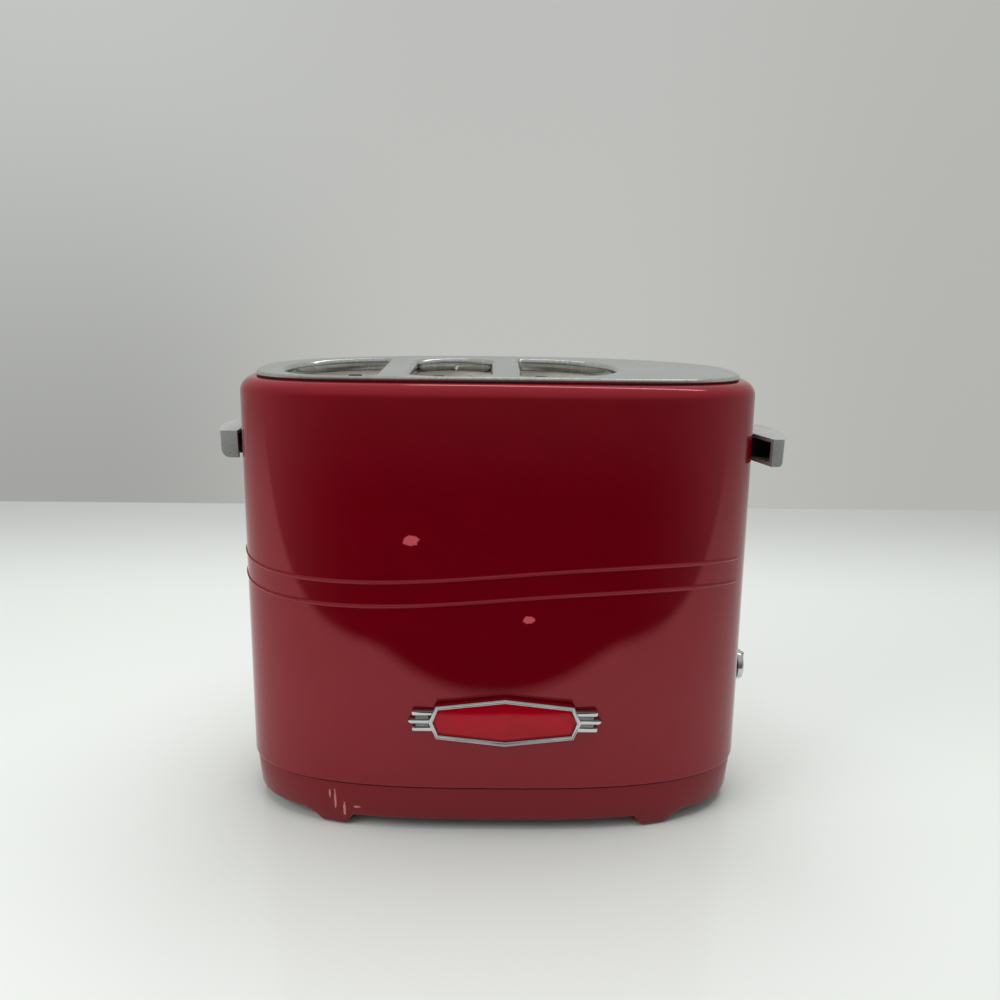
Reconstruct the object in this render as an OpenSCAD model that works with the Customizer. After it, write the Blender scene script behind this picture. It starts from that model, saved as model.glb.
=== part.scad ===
// Pop-up hot dog toaster. Millimetres, +Z up, the front faces -Y.
// The origin is on the surface it stands on, under the middle of the casing.

/* [Casing] */
// Width of the casing at its lower edge
body_w = 228; // [216:1:280]
// Depth of the casing at its lower edge
body_d = 101; // [99:1:130]
// Height of the top plate above the table
body_h = 200; // [166:1:250]
// Exponent of the rounded plan outline
squareness = 2.88; // [2.5:0.02:3.4]
// How far each side leans in towards the top
draft = 3.5; // [2:0.5:5]
// Wall of the casing
shell_wall = 2; // [1.5:0.1:2.4]
// Radius of the shoulder below the top plate
shoulder_r = 6; // [4:0.5:7]
// Height of the joint between casing and base
seam_z = 22.5; // [21:0.5:27]
// How much the top falls away towards both ends
crown = 1.6; // [0:0.1:2]

/* [Waist beads] */
// Mean height of the upper bead
bead_z = 120; // [100:1:140]
// Rise and fall of the beads
bead_wave = 3.7; // [0:0.1:6]
// Distance between the two beads
bead_gap = 10.4; // [7:0.1:16]
// How far a bead stands out
bead_proud = 0.7; // [0.4:0.1:1.6]
// Width of a bead at its root
bead_w = 2.6; // [2:0.1:5]

/* [Top plate] */
// Distance from the casing's side to the plate
plate_inset = 6.7; // [6:0.1:9]
// Thickness of the plate
plate_t = 1; // [0.8:0.1:1.4]
// Height of the plate's turned-down edge
plate_edge = 1.7; // [1.2:0.1:1.9]
// Height of the turned-down rim in each opening
rim_h = 5.5; // [5.5:0.5:8]
// Thickness of that rim
rim_t = 0.8; // [0.6:0.1:1]

/* [Food openings] */
// Left end of the row of openings
openings_x = -91; // [-92:0.5:-86]
// Width of each bun opening
bun_w = 41; // [34:0.5:50]
// Width of the hot dog opening
dog_w = 33.5; // [28:0.5:40]
// Width of the bar left of the hot dog opening
left_bar = 13.5; // [12:0.5:18]
// Width of the bar right of the hot dog opening
right_bar = 12.5; // [12:0.5:18]
// Half of the bun openings' depth
opening_half = 31.5; // [27:0.5:33]
// Middle of the bun openings, front to back
opening_y = -3; // [-5:0.5:0]
// Exponent of a bun opening's round side
bun_squareness = 2.3; // [2:0.1:3]
// Half of the hot dog opening's depth
dog_half = 32; // [27:0.5:33]
// Middle of the hot dog opening, front to back
dog_y = -4.5; // [-5:0.5:0]
// How far the hot dog opening's ends bow out
dog_bow = 7.5; // [3:0.5:10]
// Sheet of the liners
liner_t = 0.6; // [0.5:0.1:0.8]

/* [Base] */
// Height of the skirt's lower edge
skirt_z = 5.5; // [4:0.5:6]
// How far the skirt's top edge is set in from the casing
skirt_inset = 0.8; // [0.8:0.1:1.4]
// How far the skirt leans in towards its lower edge
skirt_lean = 1.4; // [1:0.1:2.4]
// Wall of the skirt
skirt_wall = 2.2; // [1.8:0.1:2.6]
// Inner edge of each foot, from the middle
foot_x = 63; // [55:1:75]
// Thickness of the rubber foot pads
pad_t = 0.8; // [0.8:0.1:1.2]
// Radius of the foot pads
pad_r = 3.2; // [2.5:0.1:3.6]
// Width of the crumb tray
tray_w = 112; // [90:1:114]
// Travel of the crumb tray
tray_travel = 75; // [40:1:80]

/* [Carriage] */
// Travel of the levers
lever_travel = 72; // [50:1:74]
// Radius of the guide rods
rod_r = 2; // [1.6:0.1:2.4]
// Radial play of the sliders on the rods
rod_play = 0.05; // [0.02:0.01:0.1]
// Distance from the top plate down to the middle of the levers
lever_drop = 34; // [30:1:40]
// Height of a lever knob
knob_h = 12; // [10.5:0.5:13]
// Front of the left lever knob, from the toaster's middle
left_knob_y = -10; // [-14:0.5:-9.5]
// Length of the left lever knob, front to back
left_knob_len = 32; // [28:0.5:36]
// Front of the right lever knob, from the toaster's middle
right_knob_y = -18; // [-20:0.5:-15]
// Length of the right lever knob, front to back
right_knob_len = 36; // [32:0.5:38]
// How far a knob's side falls back 18 mm from its middle
knob_bow = 3.8; // [2:0.1:5]
// Width of the right lever knob's front face
knob_face = 4.5; // [4:0.1:6]
// How far the left knob stands out from the casing
left_reach = 12.1; // [10.5:0.1:14]
// How far the right knob stands out from the casing
right_reach = 15.1; // [13.5:0.1:17]
// Height of the lever arms
arm_h = 10; // [7:0.5:10]

/* [Controls] */
// Radius of the dial
dial_r = 7.2; // [6:0.1:12]
// How far the dial stands out
dial_proud = 5.6; // [4:0.1:8]
// Height of the dial's axis
dial_z = 58.6; // [50:0.1:66]
// Radius of the dial's shaft
shaft_r = 3; // [2.5:0.1:3.2]
// Radial play of the shaft in its bush
shaft_play = 0.06; // [0.02:0.01:0.1]
// Place of the stop button behind the dial
button_y = 22; // [20:0.5:26]
// Radius of the stop button
button_r = 5; // [4:0.1:6]
// Travel of the stop button
button_travel = 2.5; // [1.5:0.1:3]

/* [Badge] */
// Middle of the badge from the casing's middle
badge_x = 4.1; // [-10:0.1:10]
// Height of the badge's middle
badge_z = 55.9; // [45:0.1:70]
// Half of the badge's width, tip to tip
badge_half_w = 32.3; // [26:0.1:40]
// Half of the badge's height
badge_half_h = 11; // [8:0.1:14]
// How far the badge stands out
badge_proud = 3.4; // [3:0.1:5]

/* [Hidden] */

$fn = 64;
STEPS = 72; // points round an outline
SEAT = 0.3; // gap where one piece seats on another
LOOSE = 0.5; // gap round a piece that is only let in

// Casing
draft_top = body_h - 10;
rim_z = body_h - 2.3;
shell_z = seam_z + 0.25;
skirt_top = seam_z - 0.25;
flange_inset = plate_inset + 1.4;
lip_h = 3.8;

// Levels inside
cover_z = skirt_z + 1;
cover_t = 2;
pan_t = 1.5;
pan_top = seam_z - 2.5;
pan_z = pan_top - pan_t;
liner_top = body_h - 5;
tray_z = cover_z + cover_t + 0.8;
tray_sheet = 0.8;
tray_h = pan_z - tray_z - 2;
tray_front_h = pan_z - tray_z - 0.7;
end_top = body_h - 14;
end_t = 1;

// Row of openings, left to right
left_flat = openings_x + bun_w;
dog_x = left_flat + left_bar + dog_w / 2;
right_flat = left_flat + left_bar + dog_w + right_bar;
openings_end = right_flat + bun_w;
liner_in = rim_t + SEAT;
liner_out = liner_in + liner_t;
liner_back = opening_y + opening_half + liner_out;
heater_x = [left_flat + left_bar / 2, right_flat - right_bar / 2];
board_t = 1;
board_half = opening_half - 8;
ribbon_t = 0.4;
ribbon_h = 1.6;
ribbon_pitch = 9;

// Carriage
rest_z = lever_travel + 40;
tread_t = 1.5;
bar_h = 8;
bar_t = 2;
bar_z = rest_z - bar_h;
bar_y = liner_back + 3.9;
slider_h = 24;
slider_z = rest_z - 12;
slider_half = 6;
rail_y = -3;
rail_left = openings_x - liner_out - 8.3;
rail_right = openings_end + liner_out + 10.8;
end_left = rail_left + 6;
end_right = rail_right - 7.5;
slider_grip = 5;
lug_y = rail_y - slider_half - 3.5;
spring_r = 2.5;
arm_t = 3;
lever_z = body_h - lever_drop;
knob_wall = 1.6;
left_arm_at = rail_y - left_knob_y; // from a knob's front back to the middle of its arm
right_arm_at = rail_y - right_knob_y;
magnet_x = rail_right + 14.5;
magnet_y = rail_y - 9;
magnet_top = bar_z + 2 - lever_travel - 0.4;
tongue_w = 5.5;
slot_w = tongue_w + 1;
bun_tongues = [left_flat - 17, right_flat + 11];
dog_tongues = [dog_x - dog_w / 4, dog_x + dog_w / 4];

// Half width and half depth of the casing at height z
function side_x(z) = body_w / 2 - draft * (z - seam_z) / (draft_top - seam_z);
function side_y(z) = side_x(z) - (body_w - body_d) / 2;
function fill(t, n) = pow(pow(abs(cos(t)), n) + pow(abs(sin(t)), n), -1 / n);
function rounded(a, b, n, t) = [a * cos(t) * fill(t, n), b * sin(t) * fill(t, n)];
function outline(z, inset) =
    [for (i = [0 : STEPS - 1]) rounded(side_x(z) - inset, side_y(z) - inset, squareness, 360 * i / STEPS)];
// Where the casing's surface lies, set in by inset, on its right end and on its back
function end_x(y, z, inset = 0) = (side_x(z) - inset)
    * pow(1 - pow(abs(y) / (side_y(z) - inset), squareness), 1 / squareness);
function back_y(x, z, inset = 0) = (side_y(z) - inset)
    * pow(1 - pow(abs(x) / (side_x(z) - inset), squareness), 1 / squareness);
function fall(x) = crown * pow(x / side_x(rim_z), 2);
function clamp(v) = max(0, min(1, v));
// Turn from the middle of the front, or from the middle of the back
function turn(t) = t < 180 ? t - 90 : t - 270;
function swell(t) = sin(2.6 * turn(t)) * clamp((90 - abs(turn(t))) / 20);
function bead(t) = turn(t) < 0 ? clamp((turn(t) + 84) / 8) : clamp((60 - turn(t)) / 8);

// A closed band through rings of [inset, z, share of the wave, share of the crown, bead]
module band(rings) {
    count = len(rings);
    points = [for (r = rings, i = [0 : STEPS - 1])
        let (t = 360 * i / STEPS,
            z = r[1] + r[2] * bead_wave * swell(t),
            inset = r[0] - r[4] * bead_proud * bead(t),
            p = rounded(side_x(z) - inset, side_y(z) - inset, squareness, t))
        [p.x, p.y, z - r[3] * fall(p.x)]];
    faces = [for (r = [0 : count - 1], i = [0 : STEPS - 1], half = [0, 1])
        let (a = r * STEPS + i, b = r * STEPS + (i + 1) % STEPS,
            c = ((r + 1) % count) * STEPS + (i + 1) % STEPS, d = ((r + 1) % count) * STEPS + i)
        half == 0 ? [a, d, c] : [a, c, b]];
    polyhedron(points, faces, convexity = 8);
}

// A flat shape between two levels that both follow the crown of the top
module crowned(z0, z1) {
    reach = side_x(rim_z);
    xs = [for (i = [-12 : 12]) reach * i / 12];
    intersection() {
        translate([0, 0, z0 - crown - 1])
            linear_extrude(z1 - z0 + crown + 2)
                children();
        rotate([90, 0, 0])
            linear_extrude(body_d, center = true)
                polygon(concat([for (x = xs) [x, z0 - fall(x)]],
                    [for (i = [24 : -1 : 0]) [xs[i], z1 - fall(xs[i])]]));
    }
}

module slab(z0, z1) {
    translate([0, 0, z0])
        linear_extrude(z1 - z0)
            children();
}

module block(from, to) {
    translate(from)
        cube(to - from);
}

// A round bar along X from x0 to x1
module bar_x(x0, x1, y, z, r) {
    translate([x0, y, z])
        rotate([0, 90, 0])
            cylinder(h = x1 - x0, r = r);
}

// Plan of a bun opening: flat side at x, round side towards side, grown by grow
module bun_plan(x, side, grow) {
    translate([x, opening_y])
        polygon([for (t = [-90 : 7.5 : 90])
            let (p = rounded(bun_w + 2 * grow, opening_half + grow, bun_squareness, t))
            [side * (p.x - grow), p.y]]);
}

module dog_plan(grow) {
    half = dog_w / 2 + grow;
    translate([dog_x, dog_y])
        polygon([for (end = [-1, 1], i = [-6 : 6])
            [-end * half * i / 6, end * (dog_half + grow - dog_bow * pow(i / 6, 2))]]);
}

module all_plans(grow) {
    bun_plan(left_flat, -1, grow);
    dog_plan(grow);
    bun_plan(right_flat, 1, grow);
}

module casing_plan(z, inset) {
    polygon(outline(z, inset));
}

module body_shell() {
    inner_r = shoulder_r - shell_wall;
    turn_z = rim_z - shoulder_r;
    rings = concat(
        [[0, shell_z, 0, 0, 0]],
        [for (low = [1, 0], k = [-1, 0, 1])
            [0, bead_z - low * bead_gap + k * bead_w / 2, 1, 0, k == 0 ? 1 : 0]],
        [for (a = [0 : 22.5 : 90]) [shoulder_r * (1 - cos(a)), turn_z + shoulder_r * sin(a), 0, 1, 0]],
        [[flange_inset, rim_z, 0, 1, 0], [flange_inset, rim_z - shell_wall, 0, 1, 0]],
        [for (a = [90 : -30 : 0]) [shoulder_r - inner_r * cos(a), turn_z + inner_r * sin(a), 0, 1, 0]],
        [[shell_wall, shell_z, 0, 0, 0]]);
    slot_low = lever_z - arm_h / 2 - lever_travel - 1.5;
    slot_high = lever_z + arm_h / 2 + 2.5;
    color("firebrick")
        difference() {
            band(rings);
            for (side = [-1, 1])
                translate([side * body_w / 2, rail_y, (slot_low + slot_high) / 2])
                    cube([24, arm_t + 3, slot_high - slot_low], center = true);
            bar_x(side_x(dial_z) - 10, body_w / 2 + 1, 0, dial_z, bush_r + SEAT);
            bar_x(end_x(button_y, dial_z) - 10, body_w / 2 + 1, button_y, dial_z, button_r + SEAT);
            gland_place()
                cylinder(h = 16, r = gland_r + SEAT, center = true);
        }
}

module top_plate() {
    color("darkgray") {
        difference() {
            union() {
                crowned(body_h - plate_t, body_h)
                    casing_plan(draft_top, plate_inset);
                crowned(body_h - plate_edge, body_h - plate_t / 2)
                    difference() {
                        casing_plan(draft_top, plate_inset);
                        casing_plan(draft_top, plate_inset + rim_t);
                    }
                crowned(body_h - rim_h, body_h - plate_t / 2)
                    all_plans(rim_t);
            }
            slab(body_h - rim_h - 5, body_h + 1)
                all_plans(0);
        }
    }
}

module plate_gasket() {
    color("black")
        crowned(rim_z + 0.05, body_h - plate_edge - 0.05)
            difference() {
                casing_plan(draft_top, plate_inset + 0.4);
                casing_plan(draft_top, plate_inset + 1.4);
            }
}

// Slots in the back wall that the lifts' tongues run in
module tongue_slots(xs) {
    for (x = xs)
        block([x - slot_w / 2, opening_y + 8, pan_top + 16], [x + slot_w / 2, bar_y, liner_top - 3]);
}

// Rows of windows that let the heat through the wall at x
module heat_windows(x) {
    for (z = [pan_top + 24 : 15 : end_top - 22])
        block([x - 2.5, opening_y - board_half + 4, z], [x + 2.5, opening_y + board_half - 4, z + 11]);
}

module bun_liner(x, side) {
    color("lightgray")
        difference() {
            slab(pan_top, liner_top)
                bun_plan(x, side, liner_out);
            slab(pan_top - 1, liner_top + 1)
                bun_plan(x, side, liner_in);
            tongue_slots([side < 0 ? bun_tongues[0] : bun_tongues[1]]);
            heat_windows(x - side * (liner_in + liner_out) / 2);
        }
}

module bun_liner_left() {
    bun_liner(left_flat, -1);
}

module bun_liner_right() {
    bun_liner(right_flat, 1);
}

module hot_dog_liner() {
    color("lightgray")
        difference() {
            slab(pan_top, liner_top)
                dog_plan(liner_out);
            slab(pan_top - 1, liner_top + 1)
                dog_plan(liner_in);
            tongue_slots(dog_tongues);
            for (side = [-1, 1])
                heat_windows(dog_x + side * (dog_w / 2 + (liner_in + liner_out) / 2));
        }
}

module hot_dog_divider() {
    reach = dog_half + liner_in - SEAT;
    color("silver")
        block([dog_x - liner_t / 2, dog_y - reach, pan_top],
            [dog_x + liner_t / 2, dog_y + reach, liner_top - 4]);
}

foot_in = skirt_inset + skirt_lean;

function skirt_in(z) = skirt_inset + skirt_lean * (skirt_top - z) / (skirt_top - skirt_z);

module skirt_band() {
    band([[foot_in, skirt_z, 0, 0, 0], [skirt_inset, skirt_top, 0, 0, 0],
        [shell_wall + SEAT, skirt_top, 0, 0, 0], [shell_wall + SEAT, skirt_top + lip_h, 0, 0, 0],
        [shell_wall + SEAT + 1.6, skirt_top + lip_h, 0, 0, 0],
        [skirt_inset + skirt_wall + 0.9, skirt_top, 0, 0, 0], [foot_in + skirt_wall, skirt_z, 0, 0, 0]]);
}

foot_deep = 10;
pad_x = foot_x + 8.2;
pad_y = back_y(pad_x, skirt_z, foot_in + foot_deep / 2);

module feet() {
    for (side = [-1, 1])
        intersection() {
            slab(pad_t, skirt_z + 0.6)
                difference() {
                    casing_plan(skirt_z, foot_in);
                    casing_plan(skirt_z, foot_in + foot_deep);
                }
            rotate([90, 0, 0])
                linear_extrude(body_d, center = true)
                    polygon([for (p = [[0, skirt_z + 0.6], [0, skirt_z], [2.5, pad_t], [14, pad_t],
                        [15.4, 1.8], [16.6, 3], [18.6, 3.8], [22, skirt_z], [22, skirt_z + 0.6]])
                        [side * (foot_x + p.x), p.y]]);
        }
}

tray_x0 = dog_x - tray_w / 2;
tray_x1 = dog_x + tray_w / 2;

module base_skirt() {
    color("brown")
        difference() {
            union() {
                skirt_band();
                feet();
            }
            block([tray_x0 - LOOSE, 0, tray_z - LOOSE],
                [tray_x1 + LOOSE, body_d, tray_z + tray_front_h + LOOSE]);
            at_pads()
                cylinder(h = 6, r = 1.5 + 0.02, center = true);
        }
}

module at_pads() {
    for (x = [-pad_x, pad_x], y = [-pad_y, pad_y])
        translate([x, y, 0])
            children();
}

module foot_pads() {
    color("dimgray")
        at_pads() {
            cylinder(h = pad_t, r = pad_r);
            cylinder(h = 2.8, r = 1.5);
        }
}

screw_r = 1.5;
post_r = 4;
posts = [[rail_left + 3, 18], [rail_right - 1, 28]];

module at_posts() {
    for (p = posts, side = [-1, 1])
        translate([p.x, side * p.y, 0])
            children();
}

module bottom_cover() {
    color("dimgray")
        difference() {
            union() {
                slab(cover_z, cover_z + cover_t)
                    casing_plan(skirt_z, skirt_in(cover_z) + skirt_wall + LOOSE);
                at_posts()
                    translate([0, 0, cover_z])
                        cylinder(h = pan_z - cover_z, r = post_r);
            }
            at_posts()
                translate([0, 0, cover_z - 1])
                    cylinder(h = pan_z, r = screw_r + 0.1);
            for (x = [tray_x1 + 18 : 7 : side_x(skirt_z) - 22])
                block([x - 1.5, -14, cover_z - 1], [x + 1.5, 14, cover_z + cover_t + 1]);
        }
}

module bottom_screws() {
    color("silver")
        at_posts() {
            translate([0, 0, cover_z - 1.8])
                cylinder(h = 1.8, r = 3);
            translate([0, 0, cover_z - 0.9])
                cylinder(h = pan_top + 3 - cover_z, r = screw_r);
        }
}

module chassis_pan() {
    color("lightgray")
        difference() {
            slab(pan_z, pan_top)
                casing_plan(seam_z, skirt_in(pan_z) + skirt_wall + LOOSE + 0.4);
            slab(pan_z - 1, pan_top + 1)
                all_plans(-1.5);
            at_posts()
                translate([0, 0, pan_z - 1])
                    cylinder(h = 4, r = screw_r + 0.1);
        }
}

// An upright plate beside the liners, with a shelf that holds the top of a guide rod
module chassis_end(x, rail_x, y0, y1) {
    out = rail_x < x ? -1 : 1;
    color("silver")
        difference() {
            union() {
                block([x - (out > 0 ? end_t : 0), y0, pan_top], [x + (out > 0 ? 0 : end_t), y1, end_top]);
                block([min(x, rail_x + out * 3.5), rail_y - 13, end_top - end_t],
                    [max(x, rail_x + out * 3.5), rail_y + 6, end_top]);
            }
            translate([rail_x, rail_y, end_top])
                cylinder(h = 6, r = rod_r + 0.05, center = true);
        }
}

module chassis_end_left() {
    chassis_end(end_left, rail_left, rail_y - 17, rail_y + 17);
}

module chassis_end_right() {
    chassis_end(end_right, rail_right, opening_y - board_half, opening_y + board_half + 4);
}

module guide_rods() {
    color("silver")
        for (x = [rail_left, rail_right])
            translate([x, rail_y, pan_top])
                cylinder(h = end_top + 1.5 - pan_top, r = rod_r);
}

module heater_board(x) {
    color("tan")
        block([x - board_t / 2, opening_y - board_half, pan_top],
            [x + board_t / 2, opening_y + board_half, end_top]);
}

module heater_board_left() {
    heater_board(heater_x[0]);
}

module heater_board_right() {
    heater_board(heater_x[1]);
}

// One ribbon wound round the board: level on one face, climbing a pitch on the other
module heater_ribbon(x) {
    edge = board_half + ribbon_t;
    levels = [pan_top + 22 : ribbon_pitch : end_top - 18];
    color("peru")
        translate([x, opening_y, 0])
            for (z = levels) {
                block([board_t / 2, -edge, z], [board_t / 2 + ribbon_t, edge, z + ribbon_h]);
                block([-board_t / 2 - ribbon_t, -edge, z], [board_t / 2 + ribbon_t, -board_half, z + ribbon_h]);
                if (z + ribbon_pitch <= end_top - 18) {
                    translate([-board_t / 2, 0, 0])
                        rotate([90, 0, -90])
                            linear_extrude(ribbon_t)
                                polygon([[edge, z], [-edge, z + ribbon_pitch],
                                    [-edge, z + ribbon_pitch + ribbon_h], [edge, z + ribbon_h]]);
                    block([-board_t / 2 - ribbon_t, board_half, z + ribbon_pitch],
                        [board_t / 2 + ribbon_t, edge, z + ribbon_pitch + ribbon_h]);
                }
            }
}

module heater_ribbon_left() {
    heater_ribbon(heater_x[0]);
}

module heater_ribbon_right() {
    heater_ribbon(heater_x[1]);
}

badge_rim = 1.3;
badge_groove = 0.7;
badge_bezel = 0.9;
badge_t = 1.5;
badge_shoulder = 0.905;
wing_h = 2.2;
wing_pitch = 3.7;
wing_len = 41;
wing_drop = 1.8;

module badge_plan(shrink) {
    w = badge_half_w - shrink;
    h = badge_half_h - shrink;
    shoulder = badge_shoulder * badge_half_w - 0.6 * shrink;
    rise = 0.69 * badge_half_h - 0.9 * shrink;
    polygon([[-w, 0], [-shoulder, rise], [0, h], [shoulder, rise], [w, 0], [shoulder, -rise],
        [0, -h], [-shoulder, -rise]]);
}

// Stands a plan in X and Z upright, from proud0 to proud1 in front of the casing
module on_front(proud0, proud1) {
    translate([badge_x, -side_y(badge_z) - proud0, badge_z])
        rotate([90, 0, 0])
            linear_extrude(proud1 - proud0)
                children();
}

module casing_cut() {
    slab(badge_z - 20, badge_z + 20)
        casing_plan(badge_z - badge_half_h, -0.1);
}

module badge_boss() {
    color("firebrick")
        difference() {
            on_front(-3, badge_proud - badge_t)
                badge_plan(0.3);
            casing_cut();
        }
}

module badge_frame() {
    groove = badge_rim + badge_groove;
    color("silver")
        difference() {
            on_front(badge_proud - badge_t, badge_proud)
                badge_plan(0);
            on_front(badge_proud - 0.6, badge_proud + 1)
                difference() {
                    badge_plan(badge_rim);
                    badge_plan(groove);
                }
            on_front(badge_proud - badge_t - 1, badge_proud + 1)
                badge_plan(groove + badge_bezel);
        }
}

module badge_field() {
    color("crimson")
        on_front(badge_proud - badge_t, badge_proud - 0.6)
            badge_plan(badge_rim + badge_groove + badge_bezel + 0.05);
}

module badge_wings() {
    front = badge_proud - wing_drop;
    inner = badge_half_w - 5;
    color("silver")
        difference() {
            for (side = [-1, 1])
                union() {
                    for (k = [-1, 0, 1])
                        on_front(-3, front)
                            wing_bar(side, inner, wing_len - (k == 0 ? 0 : 1.6), k * wing_pitch);
                    on_front(-3, front - 1.6)
                        wing_bar(side, inner, wing_len - 3, 0, 2 * wing_pitch);
                }
            on_front(-6, badge_proud + 1)
                badge_plan(0.25);
            on_front(badge_proud - badge_t - 0.05, badge_proud + 1)
                badge_plan(-0.05);
            casing_cut();
        }
}

module wing_bar(side, from, to, level, h = wing_h) {
    translate([side * (from + to) / 2, level])
        square([to - from, h], center = true);
}

gland_x = 42;
gland_z = 36;
gland_r = 5;
gland_turn = 4.1;

module gland_place() {
    translate([gland_x, back_y(gland_x, gland_z), gland_z])
        rotate([0, 0, -gland_turn])
            rotate([-90, 0, 0])
                children();
}

module cord_gland() {
    color("black")
        gland_place()
            difference() {
                union() {
                    translate([0, 0, -6])
                        cylinder(h = 8, r = gland_r);
                    translate([0, 0, SEAT])
                        cylinder(h = 3.4, r1 = gland_r + 2, r2 = gland_r + 1);
                    translate([0, 0, -4.8])
                        cylinder(h = 2, r = gland_r + 1.5);
                }
                cylinder(h = 20, r = 3.5, center = true);
            }
}

bracket_x = rail_right + 23;

module board_bracket() {
    color("silver") {
        block([bracket_x - 12, 10, pan_top], [bracket_x, 28, pan_top + 1.2]);
        block([bracket_x - 1.2, 10, pan_top], [bracket_x, 28, dial_z]);
    }
}

module control_board() {
    x = bracket_x;
    color("darkgreen") {
        block([x, 8, dial_z - 28], [x + 1.6, 31, dial_z + 26]);
        block([x + 1.6, 10, dial_z + 10], [x + 9, 20, dial_z + 22]);
        block([x + 1.6, 12, dial_z - 24], [x + 6.6, 28, dial_z - 12]);
        bar_x(x + 1.6, x + 10, 25.5, dial_z + 16, 4);
    }
}

module stop_switch() {
    face = end_x(button_y, dial_z) - 12 - button_travel - SEAT;
    color("black")
        block([bracket_x + 1.6, button_y - 5, dial_z - 4.5], [face, button_y + 5, dial_z + 4.5]);
}

module magnet_core() {
    color("gray") {
        block([magnet_x - 7.5, magnet_y - 6, pan_top], [magnet_x + 7.5, magnet_y + 6, pan_top + 3]);
        for (side = [-1, 1])
            translate([magnet_x + side * 6.5, magnet_y, (pan_top + magnet_top) / 2])
                cube([2, 12, magnet_top - pan_top], center = true);
        translate([magnet_x, magnet_y, pan_top])
            cylinder(h = magnet_top - pan_top, r = 2.5);
    }
}

module magnet_coil() {
    color("orange")
        translate([magnet_x, magnet_y, pan_top + 3.2])
            difference() {
                cylinder(h = magnet_top - pan_top - 4.2, r = 5.2);
                translate([0, 0, -1])
                    cylinder(h = magnet_top - pan_top, r = 2.6);
            }
}

bush_r = shaft_r + 0.7;

module timer_body() {
    wall_in = side_x(dial_z) - shell_wall;
    color("dimgray")
        difference() {
            union() {
                bar_x(wall_in - 12, wall_in - 2.5, 0, dial_z, 10);
                bar_x(wall_in - 3, wall_in - SEAT, 0, dial_z, 6.5);
                bar_x(wall_in - 3, side_x(dial_z) - 0.2, 0, dial_z, bush_r);
            }
            bar_x(wall_in - 10, body_w / 2 + 5, 0, dial_z, shaft_r + shaft_play);
        }
}

module return_spring(x) {
    color("silver")
        translate([x, lug_y, slider_z + slider_h + SEAT])
            difference() {
                cylinder(h = end_top - end_t - slider_z - slider_h - 2 * SEAT, r = spring_r);
                translate([0, 0, -1])
                    cylinder(h = body_h, r = spring_r - 0.7);
            }
}

module return_spring_left() {
    return_spring(rail_left);
}

module return_spring_right() {
    return_spring(rail_right);
}

// One bent strip behind the openings, from the left slider to the right one
module carriage_frame() {
    x0 = openings_x + 10;
    near = rail_y + slider_half;
    color("gray")
        slab(bar_z, rest_z)
            polygon([[x0, bar_y], [rail_left + 4.5, bar_y - 9.5], [rail_left + 2, bar_y - 18],
                [rail_left + 2, near], [rail_left, near], [rail_left, bar_y - 17.5],
                [rail_left + 2.8, bar_y - 8], [x0 - 0.8, bar_y + bar_t], [rail_right, bar_y + bar_t],
                [rail_right, near], [rail_right - bar_t, near], [rail_right - bar_t, bar_y]]);
}

module slider(x) {
    color("ivory")
        difference() {
            union() {
                block([x - slider_grip, rail_y - slider_half, slider_z],
                    [x + slider_grip, rail_y + slider_half, slider_z + slider_h]);
                block([x - 3, lug_y - 3, slider_z + slider_h - 6],
                    [x + 3, rail_y - slider_half + 1, slider_z + slider_h]);
            }
            translate([x, rail_y, slider_z - 1])
                cylinder(h = slider_h + 2, r = rod_r + rod_play);
        }
}

module slider_left() {
    slider(rail_left);
}

module slider_right() {
    slider(rail_right);
}

module tongue(x) {
    block([x - tongue_w / 2, opening_y + opening_half - 14, rest_z - tread_t],
        [x + tongue_w / 2, bar_y, rest_z]);
}

module bun_lift(x, side, tongue_x) {
    color("silver") {
        slab(rest_z - tread_t, rest_z)
            bun_plan(x, side, -1.5);
        tongue(tongue_x);
    }
}

module bun_lift_left() {
    bun_lift(left_flat, -1, bun_tongues[0]);
}

module bun_lift_right() {
    bun_lift(right_flat, 1, bun_tongues[1]);
}

module hot_dog_lift() {
    color("silver") {
        difference() {
            slab(rest_z - tread_t, rest_z)
                dog_plan(-1.5);
            block([dog_x - liner_t / 2 - 1, -body_d, 0], [dog_x + liner_t / 2 + 1, body_d, body_h]);
        }
        for (x = dog_tongues)
            tongue(x);
    }
}

// Flat arm in X and Z: a limb up from the slider, then out through the casing's slot
module lever_arm(points) {
    color("gray")
        translate([0, rail_y + arm_t / 2, 0])
            rotate([90, 0, 0])
                linear_extrude(arm_t)
                    polygon(points);
}

// Clearance that a knob keeps from the casing, which widens towards its foot
knob_gap = side_x(lever_z - lever_travel) - side_x(lever_z) + 0.4;
left_depth = left_reach - knob_gap;
right_depth = right_reach - knob_gap;
left_side = -side_x(lever_z) - knob_gap;
right_side = side_x(lever_z) + knob_gap;
limb_z = slider_z + 4;

// How far a knob stands out at y behind its front, and how far an arm at y reaches into it
function knob_x(depth, length, y) = depth - knob_bow * pow(abs(y - length / 2) / 18, 2.3);
function arm_in(depth, length, y) = min([for (e = [-1, 1]) knob_x(depth, length, y + e * arm_t / 2)]) - knob_wall;

module lever_arm_left() {
    top = lever_z + arm_h / 2;
    low = lever_z - arm_h / 2;
    face = rail_left - slider_grip;
    near = rail_left - rod_r - SEAT;
    end = left_side - arm_in(left_depth, left_knob_len, left_arm_at);
    lever_arm([[face, limb_z], [face, slider_z + slider_h + SEAT], [near, slider_z + slider_h + 2],
        [near, top], [end, top], [end, low], [face - 2, low], [face - 2, limb_z]]);
}

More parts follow.
